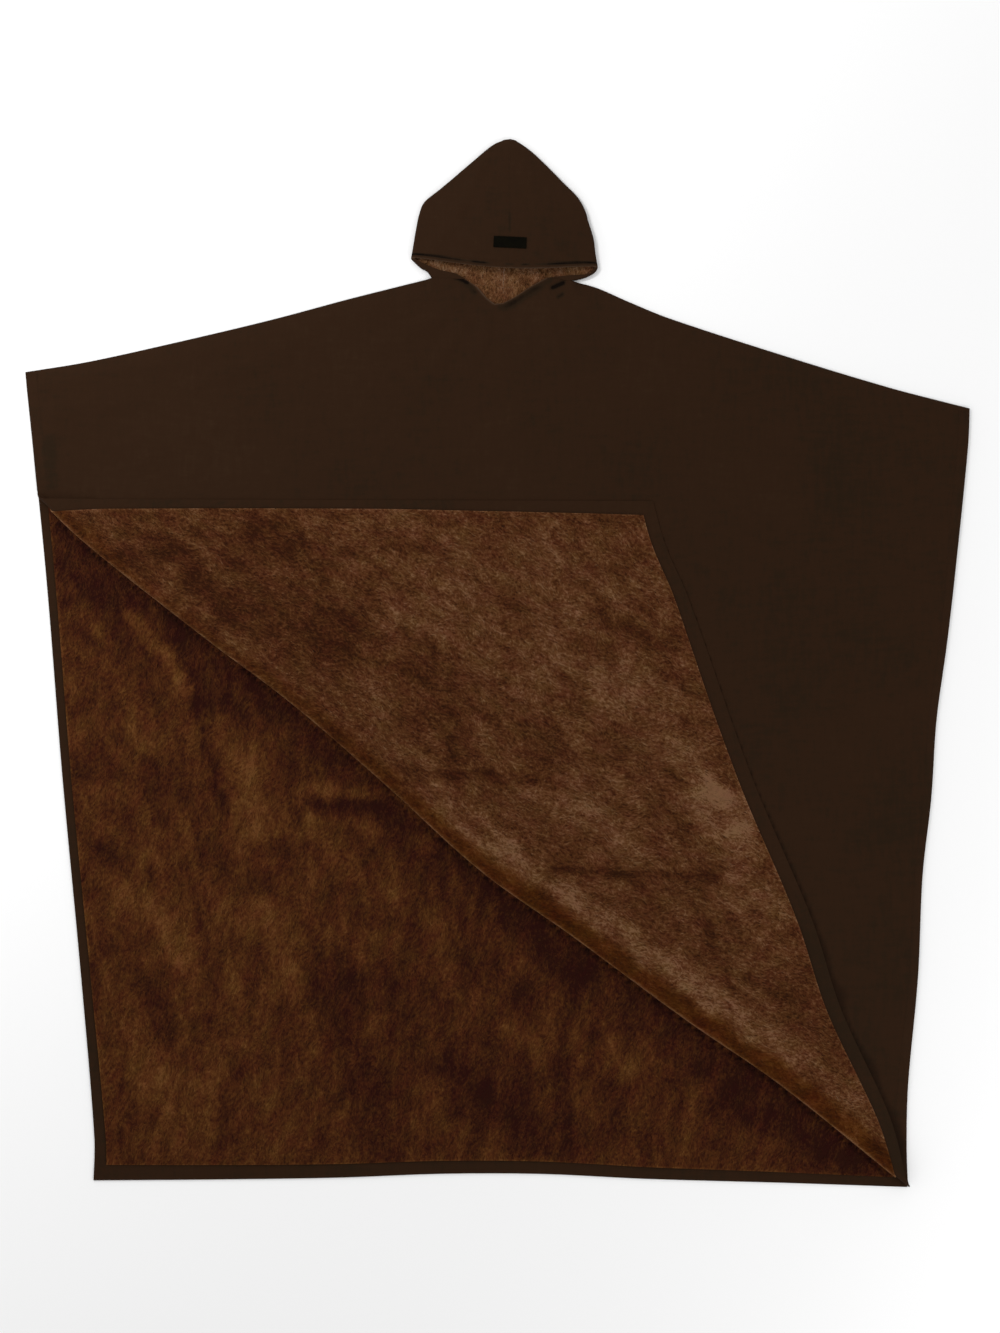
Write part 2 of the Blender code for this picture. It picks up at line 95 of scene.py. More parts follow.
def read(rows, at, column=1):
    """A smooth curve through one of a table's columns, read at values of its first."""
    x = np.array([row[0] for row in rows], float)
    y = np.array([row[column] for row in rows], float)
    last = len(x) - 1
    row = np.arange(last + 1)
    before, after = np.maximum(row - 1, 0), np.minimum(row + 1, last)
    slope = (y[after] - y[before]) / (x[after] - x[before])
    at = np.clip(at, x[0], x[-1])
    i = np.clip(np.searchsorted(x, at, side="right") - 1, 0, last - 1)
    step = x[i + 1] - x[i]
    t = (at - x[i]) / step
    level = y[i] * (1 + 2 * t) * (1 - t) ** 2 + y[i + 1] * t * t * (3 - 2 * t)
    return level + step * (slope[i] * t * (1 - t) ** 2 - slope[i + 1] * t * t * (1 - t))


def drawn(start, end, bows, shares):
    """Places along an edge that bows to the left of the straight line from start to end."""
    line = np.subtract(end, start)
    left = np.array((-line[1], line[0])) / np.hypot(*line)
    return start + np.outer(shares, line) + np.outer(read(bows, shares), left)


def chained(shares, *parts):
    """Places along several edges in turn. Each part is its end share and how it is drawn."""
    places = np.zeros((len(shares), 2))
    start = 0.0
    for end, draw in parts:
        inside = (shares >= start - 1e-9) & (shares <= end + 1e-9)
        places[inside] = draw((shares[inside] - start) / (end - start))
        start = end
    return places


def spaced(steps, border):
    """Shares across a panel, with a few steps in each turned-in border and even ones between."""
    first = np.linspace(0, border, BORDER_STEPS + 1)[:-1]
    middle = np.linspace(border, 1 - border, steps - 2 * BORDER_STEPS + 1)
    return np.concatenate((first, middle, np.linspace(1 - border, 1, BORDER_STEPS + 1)[1:]))


def nearest(shares, wanted):
    """The grid share that lies nearest to a wanted one, so that a corner falls on a grid line."""
    return shares[np.argmin(np.abs(shares - wanted))]


def on_hood(across, up):
    """A place in the plan from the hood's own axes."""
    return BROW + np.multiply.outer(across, HOOD_RIGHT) + np.multiply.outer(up, HOOD_UP)


def flat_cut(us, vs, left, right, hem, top, side_border, hem_border):
    """Places [column, row] over a panel between its drawn edges, with its borders set to width."""
    u, v = us[:, None, None], vs[None, :, None]
    cut = (1 - v) * hem[:, None] + v * top[:, None] + (1 - u) * left[None] + u * right[None]
    cut -= (1 - v) * ((1 - u) * hem[0] + u * hem[-1]) + v * ((1 - u) * top[0] + u * top[-1])
    b = BORDER_STEPS
    for rim, ring in ((cut[0], cut[1:b + 1]), (cut[-1], cut[-2:-b - 2:-1])):
        step = ring[-1] - rim
        step *= (read(side_border, vs) / np.linalg.norm(step, axis=-1))[:, None]
        ring[:] = rim + step * (np.arange(1, b + 1) / b)[:, None, None]
    rim, ring = cut[:, 0].copy(), cut[:, b].copy()
    step = (ring - rim) * (read(hem_border, us) / np.linalg.norm(ring - rim, axis=-1))[:, None]
    for k in range(1, b + 1):
        cut[:, k] = rim + step * (k / b)
    return cut


BACK_SIDE_BORDER = table("share width", (0, 20), (0.12, 17), (0.4, 14.5), (1, 14))
BACK_HEM_BORDER = table("share width", (0, 25), (0.3, 22), (0.7, 19), (1, 15))
us = spaced(COLUMNS, SIDE_SHARE)
vs = spaced(ROWS, HEM_SHARE)
neck_left, neck_right = on_hood(*NECK_END_LEFT), on_hood(*NECK_END_RIGHT)
u_left, u_nape, u_right = (nearest(us, share) for share in NECK_SHARES)


def shoulders(us, neck):
    """The top edge from the left tip to the right one. The neck is how it is drawn between."""
    return chained(
        us,
        (u_left, lambda s: drawn(neck_left, TIP_LEFT, LEFT_SHOULDER, 1 - s)),
        *neck,
        (1.0, lambda s: drawn(TIP_RIGHT, neck_right, RIGHT_SHOULDER, 1 - s)),
    )


def straight_parts(us_at, places):
    """Straight edges from place to place, ending at these shares."""
    return [
        (end, lambda s, a=a, b=b: drawn(a, b, STRAIGHT, s))
        for end, a, b in zip(us_at, places, places[1:])
    ]


nape = on_hood(0.0, NAPE_UP)
back_cut = flat_cut(
    us,
    vs,
    left=drawn(TIP_LEFT, HEM_LEFT, LEFT_SIDE, 1 - vs),
    right=drawn(HEM_RIGHT, TIP_RIGHT, RIGHT_SIDE, vs),
    hem=drawn(HEM_LEFT, HEM_RIGHT, HEM, us),
    top=shoulders(us, straight_parts((u_nape, u_right), (neck_left, nape, neck_right))),
    side_border=BACK_SIDE_BORDER,
    hem_border=BACK_HEM_BORDER,
)


def woven(cut, keep):
    """A grid of cloth on a flat cut, kept where keep(column, row) says so for a cell.

    Its UV is the cloth's own flat place in metres. The point layer edge runs from 0 at the open
    edges to 1 where the turned-in border ends, and seam does so from the shoulders.
    """
    columns, rows = cut.shape[0] - 1, cut.shape[1] - 1
    cloth = bmesh.new()
    bmesh.ops.create_grid(cloth, x_segments=columns, y_segments=rows, size=1)
    grain = cloth.loops.layers.uv.new("grain")
    edge_layer = cloth.verts.layers.float.new("edge")
    seam_layer = cloth.verts.layers.float.new("seam")
    cell = {}
    for vert in cloth.verts:
        i, j = round((vert.co.x + 1) / 2 * columns), round((vert.co.y + 1) / 2 * rows)
        cell[vert] = i, j
        vert[edge_layer] = min(i, columns - i, j, BORDER_STEPS) / BORDER_STEPS
        on_neck = u_left <= us[i * COLUMNS // columns] <= u_right
        vert[seam_layer] = 1.0 if on_neck else min(rows - j, BORDER_STEPS) / BORDER_STEPS
        vert.co = (*(cut[i, j] * MM), 0)
    gone = []
    for face in cloth.faces:
        corners = [cell[vert] for vert in face.verts]
        if not keep(min(c[0] for c in corners), min(c[1] for c in corners)):
            gone.append(face)
            continue
        for loop in face.loops:
            loop[grain].uv = loop.vert.co.xy
    bmesh.ops.delete(cloth, geom=gone, context="FACES")
    return cloth


def in_border(i, j):
    """Whether a cell lies in the border that is turned in along the open sides and the hem."""
    return i < BORDER_STEPS or i >= COLUMNS - BORDER_STEPS or j < BORDER_STEPS


def in_lining(i, j):
    """Whether a cell is lined. The lining runs up to the neck, and stops short of the shoulders."""
    at_neck = u_left <= us[i] < u_right
    return not in_border(i, j) and (at_neck or j < ROWS - BORDER_STEPS)


def mesh_places(mesh):
    """A mesh's points in mm."""
    flat = np.zeros(len(mesh.vertices) * 3, np.float32)
    mesh.vertices.foreach_get("co", flat)
    return flat.reshape(-1, 3).astype(float) / MM


def set_places(mesh, places):
    mesh.vertices.foreach_set("co", (places * MM).astype(np.float32).ravel())
    mesh.update()


def add_points(mesh, name, values):
    """Gives a mesh's points a number each, for its material to read."""
    layer = mesh.attributes.get(name) or mesh.attributes.new(name, "FLOAT", "POINT")
    layer.data.foreach_set("value", np.asarray(values, np.float32))


def shade_points(mesh, tone, off_edge=None):
    """Gives a mesh's points their tone, and how far off they lie from an edge above them, in mm,
    for the painted shadow beside it.
    """
    count = len(mesh.vertices)
    add_points(mesh, "tone", np.full(count, tone) if np.isscalar(tone) else tone)
    add_points(mesh, "painted_shadow_off", np.full(count, 1.0) if off_edge is None else off_edge * MM)


def poured(name, cloth):
    """A new mesh that takes over this shape."""
    mesh = bpy.data.meshes.new(name)
    cloth.to_mesh(mesh)
    cloth.free()
    return mesh


def as_mesh(name, cloth):
    """A smooth mesh whose cut edge stays square. Its point layer rim is 1 along that edge."""
    rim = cloth.verts.layers.float.new("rim")
    for edge in cloth.edges:
        if edge.is_boundary:
            edge.smooth = False
            for vert in edge.verts:
                vert[rim] = 1.0
    mesh = poured(name, cloth)
    mesh.shade_smooth()
    return mesh


def set_down(name, data):
    """A new object in the scene."""
    made = bpy.data.objects.new(name, data)
    bpy.context.scene.collection.objects.link(made)
    return made


def sewn_in(name, mesh, thickness, way, finish, slot, *nodes):
    """A finished piece of cloth: the sheet given its thickness, dressed, and set on the part."""
    piece = set_down(name, mesh)
    mesh.materials.append(finish)
    if thickness:
        wall = piece.modifiers.new("thickness", "SOLIDIFY")
        wall.thickness = thickness * MM
        wall.offset = way
    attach(piece, "root")
    if nodes:
        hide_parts(*nodes)
    return piece


def node(tree, kind, fed, **settings):
    """A new shader node. Each socket is fed another node's output, or else a plain value."""
    made = tree.nodes.new(f"ShaderNode{kind}")
    for name, value in settings.items():
        setattr(made, name, value)
    for socket, value in fed.items():
        if isinstance(value, bpy.types.NodeSocket):
            tree.links.new(value, made.inputs[socket])
        else:
            made.inputs[socket].default_value = value
    return made


def maths(tree, operation, *fed):
    """A number worked out from others."""
    return node(tree, "Math", dict(enumerate(fed)), operation=operation).outputs[0]


def ramp(tree, shade, *stops):
    """The colour of a shade, between these places and their linear colours."""
    made = node(tree, "ValToRGB", {"Fac": shade})
    elements = made.color_ramp.elements
    made.color_ramp.interpolation = "EASE"
    while len(elements) < len(stops):
        elements.new(0.5)
    for element, (place, colour) in zip(elements, stops):
        element.position = place
        element.color = (*colour, 1)
    return made.outputs["Color"]


def speckle(tree, grain, scale, detail, rough=0.55, length=1.0, turn=0.0):
    """Soft noise on the cloth's own flat place, in patches to the metre, longer along one way."""
    turned = {"Vector": grain, "Scale": (length, 1, 1), "Rotation": (0, 0, math.radians(turn))}
    place = node(tree, "Mapping", turned, vector_type="TEXTURE").outputs["Vector"]
    fed = {"Vector": place, "Scale": scale, "Detail": detail, "Roughness": rough}
    return node(tree, "TexNoise", fed).outputs["Fac"]


def mixed(tree, *terms):
    """The sum of outputs, each less its middle value of 0.5 and times its weight, plus 0.5."""
    total = 0.5 - 0.5 * sum(weight for _, weight in terms)
    for output, weight in terms:
        total = maths(tree, "MULTIPLY_ADD", output, weight, total)
    return total


def dressed(name, rough, sheen, sheen_tint, gloss):
    """A new material, its node tree and its shader."""
    made = bpy.data.materials.new(name)
    made.use_nodes = True
    shader = made.node_tree.nodes["Principled BSDF"]
    shader.inputs["Roughness"].default_value = rough
    shader.inputs["Specular IOR Level"].default_value = gloss
    shader.inputs["Sheen Weight"].default_value = sheen
    shader.inputs["Sheen Roughness"].default_value = 0.5
    shader.inputs["Sheen Tint"].default_value = (*sheen_tint, 1)
    return made, made.node_tree, shader


def bumped(tree, shader, *layers):
    """Relief from several outputs, each with its depth in metres, one on top of the other."""
    under = {}
    for height, depth in layers:
        fed = {"Height": height, "Strength": 1.0, "Distance": depth, **under}
        under = {"Normal": node(tree, "Bump", fed).outputs["Normal"]}
    tree.links.new(under["Normal"], shader.inputs["Normal"])


def from_points(tree, name):
    """The number that a mesh's points carry under this name."""
    return node(tree, "Attribute", {}, attribute_name=name).outputs["Fac"]


def with_painted_shadow(tree, colour, reach, least):
    """A colour with a painted shadow: it darkens to the least share of itself close to an edge that
    lies over it.

    The points' own number says how far off that edge lies, in metres.
    """
    off = {"Value": from_points(tree, "painted_shadow_off"), "From Max": reach, "To Min": least}
    light = node(tree, "MapRange", off, interpolation_type="SMOOTHSTEP").outputs["Result"]
    shaded = node(tree, "VectorMath", {0: colour, "Scale": light}, operation="SCALE")
    return shaded.outputs["Vector"]


def grain_of(tree):
    """The cloth's own flat place."""
    return node(tree, "UVMap", {}, uv_map="grain").outputs["UV"]


def ribs(tree, grain, threads, way, waver=0.0):
    """Threads to the metre that run one after the other along this way of the cloth."""
    fed = {"Vector": grain, "Scale": threads * math.pi / 20, "Distortion": waver, "Detail Scale": 2}
    return node(tree, "TexWave", fed, bands_direction=way).outputs["Fac"]


shell_finish, tree, shader = dressed("dark_brown_cloth", 0.85, 0.02, (0.30, 0.16, 0.08), 0.05)
grain = grain_of(tree)
shade = mixed(
    tree,
    (speckle(tree, grain, 5, 5), 0.35),
    (speckle(tree, grain, 110, 3, 0.7, 4), 0.25),
    (speckle(tree, grain, 110, 3, 0.7, 4, 90), 0.25),
    (from_points(tree, "tone"), 1.0),
)
browns = ramp(
    tree,
    shade,
    (0.0, (0.0040, 0.0020, 0.0010)),
    (0.36, (0.0185, 0.0096, 0.0043)),
    (0.5, (0.0244, 0.0107, 0.0046)),
    (0.7, (0.0300, 0.0145, 0.0066)),
    (1.0, (0.0520, 0.0290, 0.0170)),
)
# Painted shadow where an edge lies over the cloth.
tree.links.new(with_painted_shadow(tree, browns, 0.008, 0.55), shader.inputs["Base Color"])
plain_weave = maths(tree, "MULTIPLY", *(ribs(tree, grain, 1250, way, 0.4) for way in "XY"))
bumped(tree, shader, (speckle(tree, grain, 45, 4), 0.0016), (plain_weave, 0.00012))

BACK_GRID = 4
back_grid = woven(back_cut[::BACK_GRID, ::BACK_GRID], lambda i, j: True)
back_mesh = as_mesh("back_shell_cloth", back_grid)
shade_points(back_mesh, 0.5)
back_cloth = sewn_in("back_outer_cloth", back_mesh, SHELL, 1, shell_finish, "shell", "back_shell")

# Back edge. The outer cloth's border, turned in along both sides and the hem and stitched down.
# It frames the lining on the side that faces up.
FACING = 1.0
BACK_LINING_Z = SHELL + GAP


def raised(name, cut, keep, height):
    """A flat piece of cloth of the back, at a height."""
    mesh = as_mesh(name, woven(cut, keep))
    places = mesh_places(mesh)
    places[:, 2] = height
    set_places(mesh, places)
    return mesh, places


border_mesh, _ = raised("back_border", back_cut, in_border, BACK_LINING_Z)
BORDER_TONE, BORDER_FLAT = 0.47, (0.020, 3.83)
shade_points(border_mesh, BORDER_TONE)
back_border = sewn_in(
    "back_turned_in_edge", border_mesh, FACING, 1, shell_finish, "shell", "back_edge_facing"
)

# Back lining. A short crushed plush, the same size as the panel inside its border. Its pile is
# brushed every way by wear, so that it shows golden where it leans one way and dark the other.
PLUSH = 3.0
NAPE_FLEECE_FROM = 480.0
SWELL_COLUMNS = "x y to_x to_y half_width height"
BACK_SWELLS = table(
    SWELL_COLUMNS,
    (-590, -20, -500, -150, 85, 5),
    (-420, -320, -330, -640, 95, 4),
    (-60, -640, 120, -690, 95, 4),
)
BACK_CREASES = table(
    SWELL_COLUMNS,
    (-640, 150, -520, -60, 26, 1.8),
    (-600, 60, -470, -120, 20, -1.4),
    (-655, 90, -610, -90, 24, 1.4),
    (-298, -206, -130, -226, 20, 1.6),
    (-300, -232, -150, -250, 16, -1.2),
    (-470, -200, -455, -420, 26, 1.6),
    (-420, -260, -400, -500, 22, -1.2),
    (-250, -420, -215, -640, 30, 1.6),
    (-560, -430, -440, -700, 28, 1.5),
    (-20, -560, 180, -640, 24, 1.5),
    (-180, -700, 60, -745, 26, 1.3),
    (250, -700, 420, -760, 22, 1.2),
    (-620, -560, -560, -740, 24, 1.3),
)
# Light and dark patches of the brushed pile; the narrow dark strokes beside creases are painted
# shade.
BACK_TONES = table(
    SWELL_COLUMNS,
    (-438, -105, -375, -250, 46, 0.42),
    (-580, 82, -490, -40, 19, 0.75),
    (-484, -58, -425, -265, 11, -0.35),
    (-520, 60, -430, -110, 40, -0.2),
    (-540, -160, -468, -208, 32, -0.3),
    (-634, -85, -524, -134, 40, 0.25),
    (-690, 160, -652, 112, 30, -0.3),
    (-300, -196, -172, -212, 16, 0.4),
    (-290, -244, -190, -262, 18, 0.3),
    (-460, -295, -382, -343, 34, -0.3),
    (-622, -288, -590, -330, 26, -0.3),
    (14, -411, 140, -494, 50, -0.22),
    (22, -578, 64, -630, 26, 0.4),
    (182, -596, 214, -655, 22, 0.4),
    (130, -680, 148, -723, 24, 0.3),
    (-104, -395, -78, -453, 20, 0.3),
    (-597, -356, -493, -460, 52, 0.35),
    (-562, -586, -493, -758, 57, 0.22),
    (-378, -391, -321, -483, 46, 0.35),
    (-90, -494, -33, -552, 40, 0.25),
    (13, -575, 243, -632, 40, 0.25),
    (-275, -483, -171, -770, 63, -0.4),
    (-102, -644, 82, -758, 69, -0.4),
    (-557, -494, -522, -586, 34, -0.35),
    (-298, -222, -190, -226, 12, -0.4),
    (359, -689, 566, -793, 40, -0.4),
    (-689, -138, -666, -368, 23, -0.2),
    (-309, -299, -194, -345, 46, 0.2),
    (-413, -598, -332, -758, 29, 0.2),
    (-80, -520, 130, -690, 150, -0.26),
    (-420, -300, -540, -700, 130, 0.08),
    (-120, -360, 60, -450, 70, 0.12),
)
FOLD_START = np.array((-728.5, 261.0))
FOLD_END = HEM_RIGHT
FOLD_LENGTH = np.hypot(*(FOLD_END - FOLD_START))
FOLD_ALONG = (FOLD_END - FOLD_START) / FOLD_LENGTH
FOLD_ACROSS = np.array((-FOLD_ALONG[1], FOLD_ALONG[0]))
FOLD_BOW = table(
    "share bow", (0, 0), (0.06, 9), (0.2, 9), (0.29, 5), (0.4, 13), (0.52, 27), (0.62, 18),
    (0.75, 10), (0.85, -2), (1, 0)
)


def wander(places, size, seed):
    """Soft noise from -1 to 1 at places, in patches of about this size."""
    return np.array([noise.noise((x / size, y / size, seed)) for x, y in places[:, :2]]) * 1.4


# Uneven ridges wander in wide and in close patches, and have lumps, all in mm.
DRIFT_WIDE, DRIFT_CLOSE, LUMPS = 70, 28, 45
CLOSE_SHARE, DRIFT_REACH = 0.6, 0.55


def soft_line(off, width):
    """1 on a line, fading out on both sides of it over about this width."""
    return np.exp(-((off / width) ** 2))


def swells(places, rows, uneven=0.0, seed=0.0):
    """The sum of soft ridges, each along its own line and fading out at its half width.

    Uneven ones wander to the side and change in height along the way.
    """
    total = np.zeros(len(places))
    if uneven:
        wide = (wander(places, DRIFT_WIDE, seed + k) for k in (0, 9))
        close = (wander(places, DRIFT_CLOSE, seed + k) for k in (3, 6))
        drift = np.stack(list(wide), axis=1) + CLOSE_SHARE * np.stack(list(close), axis=1)
        lumps = 1 + uneven * wander(places, LUMPS, seed + 21)
    for row in rows:
        start, line = np.array(row[:2], float), np.subtract(row[2:4], row[:2]).astype(float)
        away = places[:, :2] - start
        if uneven:
            away = away + drift * (row.half_width * DRIFT_REACH * uneven)
        share = np.clip(away @ line / (line @ line), 0, 1)
        off = np.linalg.norm(away - share[:, None] * line, axis=1) / row.half_width
        ridge = row.height * np.clip(1 - off * off, 0, None) ** 2
        total += ridge * lumps if uneven else ridge
    return total


def streaks(places, size, steep, drop, seed):
    """Soft streaks down a crushed pile, from -1 to 1, this wide and about three times as long.

    They slant to the right as they run down, at steep degrees at the top and drop at the hem.
    """
    down = np.clip((FOLD_START[1] - places[:, 1]) / (FOLD_START[1] - HEM_LEFT[1]), 0, 1)
    slant = math.radians(steep) + math.radians(drop - steep) * down
    aside = places[:, 0] * np.sin(slant) + places[:, 1] * np.cos(slant)
    lengthwise = (places[:, 0] * np.cos(slant) - places[:, 1] * np.sin(slant)) / 3.2
    return wander(np.column_stack((aside, lengthwise)), size, seed)


def fold_reach(places):
    """How far along the fold line places in the plan lie, and how far they lie behind it."""
    away = places[:, :2] - FOLD_START
    along = away @ FOLD_ALONG
    return along, away @ FOLD_ACROSS + read(FOLD_BOW, along / FOLD_LENGTH)


def pile(places, amount, seed):
    """Small uneven lumps of a crushed pile."""
    return amount * (0.6 * wander(places, 26, seed) + 0.4 * wander(places, 12, seed + 5))


def plush_finish(name, lie_turn, fine, deep, dark, middle, light, tip, sheen_tint):
    """A crushed plush whose five colours run from its deepest shade to the tips of its pile.

    Its tufts lie along one way of the cloth, given in degrees, and fine is how strongly they show.
    A painted highlight runs along its cut edge, and the pile turns redder and more golden in
    places.
    """
    made, tree, shader = dressed(name, 0.9, 0.10, sheen_tint, 0.05)
    grain = grain_of(tree)
    swirl = node(tree, "TexNoise", {"Vector": grain, "Scale": 14, "Detail": 3}).outputs["Color"]
    brushed = {0: swirl, 1: (0.03, 0.03, 0), 2: grain}
    lie = node(tree, "VectorMath", brushed, operation="MULTIPLY_ADD").outputs["Vector"]
    tufts = speckle(tree, lie, 230, 2, 0.6, 1.8, lie_turn)
    hairs = speckle(tree, lie, 520, 2, 0.6, 2.2, lie_turn + 25)
    clumps = speckle(tree, lie, 62, 4, 0.66, 2.0, lie_turn + 20)
    patches = speckle(tree, lie, 13, 7, 0.66)
    # Painted highlight along the plush's cut edge.
    at_rim = {"Value": from_points(tree, "rim"), "From Min": 0.72, "To Min": 0.5, "To Max": 0.72}
    painted_rim_highlight = node(tree, "MapRange", at_rim).outputs["Result"]
    tone = from_points(tree, "tone")
    broad = mixed(tree, (patches, 0.40), (clumps, 1.10), (painted_rim_highlight, 1.0), (tone, 1.0))
    flattened = from_points(tree, "flattened")
    standing = maths(tree, "MULTIPLY_ADD", flattened, -0.4, 1.0)
    pile_shade = mixed(tree, (tufts, 1.25 * fine), (hairs, 1.15 * fine))
    pile_shade = maths(tree, "SUBTRACT", pile_shade, 0.5)
    shade = maths(tree, "MULTIPLY_ADD", pile_shade, standing, broad)
    stops = ((0.02, deep), (0.27, dark), (0.5, middle), (0.74, light), (1.0, tip))
    ruddy = speckle(tree, grain, 38, 4, 0.65, 1.6, lie_turn)
    hues = {"Value": ruddy, "From Min": 0.3, "From Max": 0.7, "To Min": 0.490, "To Max": 0.509}
    turned = {
        "Color": ramp(tree, shade, *stops),
        "Hue": node(tree, "MapRange", hues).outputs["Result"],
        "Saturation": maths(tree, "MULTIPLY_ADD", flattened, 0.06, 1.0),
    }
    colour = node(tree, "HueSaturation", turned).outputs["Color"]
    # Painted shadow where an edge lies over the plush.
    tree.links.new(with_painted_shadow(tree, colour, 0.013, 0.27), shader.inputs["Base Color"])
    bumped(tree, shader, (clumps, 0.007), (tufts, 0.004), (hairs, 0.0012))
    return made


back_plush = plush_finish(
    "golden_brown_plush",
    65,
    0.85,
    (0.0190, 0.0036, 0.0021),
    (0.0350, 0.0087, 0.0030),
    (0.0560, 0.0160, 0.0040),
    (0.0850, 0.0285, 0.0066),
    (0.1250, 0.0480, 0.0130),
    (0.45, 0.20, 0.07),
)
hood_plush = plush_finish(
    "hood_fleece",
    80,
    1.0,
    (0.0300, 0.0110, 0.0040),
    (0.0600, 0.0230, 0.0075),
    (0.1000, 0.0400, 0.0148),
    (0.1430, 0.0660, 0.0280),
    (0.2100, 0.1150, 0.0620),
    (0.50, 0.25, 0.12),
)
# The back's lining is crushed where the front has left it, and has a painted shadow close to the
# roll.
BARE_FROM, BARE_FADE, ROLL_SHADOW = 8, 60, 120
lining_mesh, places = raised("back_lining_cloth", back_cut, in_lining, BACK_LINING_Z)
along, behind = fold_reach(places)
bare = np.clip(-(behind + BARE_FROM) / BARE_FADE, 0, 1)
relief = swells(places, BACK_CREASES, 0.5, 2.0) + pile(places, 0.5, 3.0)
relief += 0.8 * wander(places, 110, 4.0)
places[:, 2] += swells(places, BACK_SWELLS) + np.maximum(relief + 0.6, 0) * bare
set_places(lining_mesh, places)
# Painted shadow of the roll on the plush behind it.
shadow = np.clip(1 + behind / ROLL_SHADOW, 0, 1) * (behind < 0)
tone = 0.48 + 0.66 * swells(places, BACK_TONES, 0.55, 6.0) - 0.34 * shadow
tone += 0.17 * streaks(places, 30, 50, 82, 51.0) + 0.10 * streaks(places, 17, 56, 88, 53.0)
shade_points(lining_mesh, tone, np.where(behind < 0, -behind, 1000))
back_lining = sewn_in(
    "back_plush_lining", lining_mesh, PLUSH, 1, back_plush, "plush", "back_lining"
)
lining_mesh.materials.append(hood_plush)
for face in lining_mesh.polygons:
    face.material_index = int(face.center.y > NAPE_FLEECE_FROM * MM)

# Front panel. Cut like the back, with a V below the hood. Its lower left corner is turned up over
# itself along a slanting line, so that its cloth rolls over and its lining comes out on top.
FLAP_CORNER = np.array((246.8, 257.9))
ROLL_RADIUS = 7.0
HALF_TURN = math.pi * ROLL_RADIUS / 2
ROLL_REACH = ROLL_RADIUS + SEAM_HALF + PLUSH
ROLL_CUTS = 12
SETTLE = 70.0
EDGE_FADE = 60.0
NEAR_ROLL = 40.0
RIPPLE_WIDTH, RIPPLE_HEIGHT = 130, 0.8
BACK_TOP = BACK_LINING_Z + PLUSH
FRONT_Z = BACK_TOP + GAP + PLUSH + SEAM_HALF
FLAP_Z = FRONT_Z + SEAM_HALF + SHELL + GAP + SHELL + SEAM_HALF
OPEN_EDGE_Z = SHELL + GAP + FACING + GAP + FACING + SEAM_HALF
SEWN_EDGE_Z = SHELL + SEAM_HALF
FLAP_HEM = table(
    "share bow", (0, 0), (0.06, -6), (0.14, -1), (0.4, -5), (0.61, 6), (0.74, 0), (0.9, 13),
    (1, 0)
)
NECK_V = table(
    "across up", (-60, -29.3), (-40, -42), (-25, -58), (-12, -66.5), (1, -64.5), (19, -54),
    (42, -37), (68.5, -20.8)
)
FRONT_SWELLS = table(
    SWELL_COLUMNS,
    (-10, 490, 20, 390, 75, 4),
    (360, 430, 500, 330, 80, 4),
    (-430, 380, -560, 350, 60, 3),
    (600, 240, 590, -60, 75, 4),
)
FLAP_SWELLS = table(
    SWELL_COLUMNS,
    (-150, 120, 110, 60, 95, 4),
    (60, -150, 260, -170, 90, 4),
    (330, -330, 400, -440, 70, 3),
)
FRONT_CREASES = table(
    SWELL_COLUMNS,
    (-75, 560, -190, 500, 22, 2.4),
    (-60, 540, -120, 440, 20, 2.0),
    (90, 565, 180, 500, 22, 2.6),
    (75, 545, 120, 450, 18, 1.8),
    (-20, 545, -35, 470, 16, 1.6),
    (40, 545, 50, 480, 15, 1.4),
    (-330, 500, -480, 440, 26, 1.8),
    (-560, 420, -700, 400, 24, 1.6),
    (250, 500, 420, 440, 26, 1.8),
    (520, 420, 690, 370, 24, 1.8),
    (690, 330, 660, 120, 26, 1.8),
    (560, 60, 590, -220, 30, 2.0),
    (640, -120, 630, -380, 22, 1.6),
    (420, 240, 470, 40, 28, 1.6),
    (-700, 400, -715, 300, 18, 1.4),
)
FLAP_CREASES = table(
    SWELL_COLUMNS,
    (-140, -162, 84, -172, 22, 2.2),
    (-120, -184, 70, -192, 15, -1.6),
    (104, -314, 340, -326, 22, 2.4),
    (120, -338, 330, -350, 16, -1.8),
    (-300, 180, -150, 186, 20, 1.8),
    (-420, 150, -250, 60, 28, 1.8),
    (-80, 200, 20, 90, 26, 1.6),
    (60, 60, 170, -60, 26, 1.7),
    (180, 160, 250, 10, 22, 1.5),
    (-200, 20, -40, -80, 24, 1.6),
    (380, -480, 480, -540, 22, 1.8),
    (250, -460, 450, -615, 34, 2.6),
    (60, -340, 215, -430, 30, 2.2),
    (230, -60, 330, -210, 24, 1.4),
    (300, -230, 380, -360, 22, -1.4),
)
# Light and dark patches of the brushed pile; the narrow dark strokes along creases are painted
# shade.
FLAP_TONES = table(
    SWELL_COLUMNS,
    (-560, 215, -250, 60, 150, -0.2),
    (-148, 161, 197, 161, 103, 0.09),
    (-102, 92, 128, -23, 92, 0.2),
    (197, -23, 359, -253, 69, 0.3),
    (335, -207, 428, -368, 52, 0.4),
    (82, -207, 243, -264, 63, 0.3),
    (243, -460, 451, -621, 32, 0.32),
    (59, -345, 220, -437, 30, 0.36),
    (-102, -230, 36, -322, 30, 0.4),
    (462, -632, 577, -747, 30, 0.28),
    (-367, 207, -286, 172, 46, -0.35),
    (-574, 195, -447, 115, 57, -0.3),
    (-413, 69, -194, 12, 69, -0.25),
    (-113, 0, -79, -138, 52, -0.35),
    (13, -69, 82, -138, 40, -0.2),
    (-148, -176, 94, -186, 16, -0.4),
    (94, -324, 347, -338, 12, -0.6),
    (330, -420, 372, -520, 9, -0.3),
    (372, -400, 404, -500, 9, -0.3),
    (-240, 178, -102, 186, 14, -0.3),
    (393, -494, 485, -534, 21, -0.35),
    (209, -241, 312, -264, 34, -0.3),
    (174, 69, 278, 23, 34, -0.25),
)
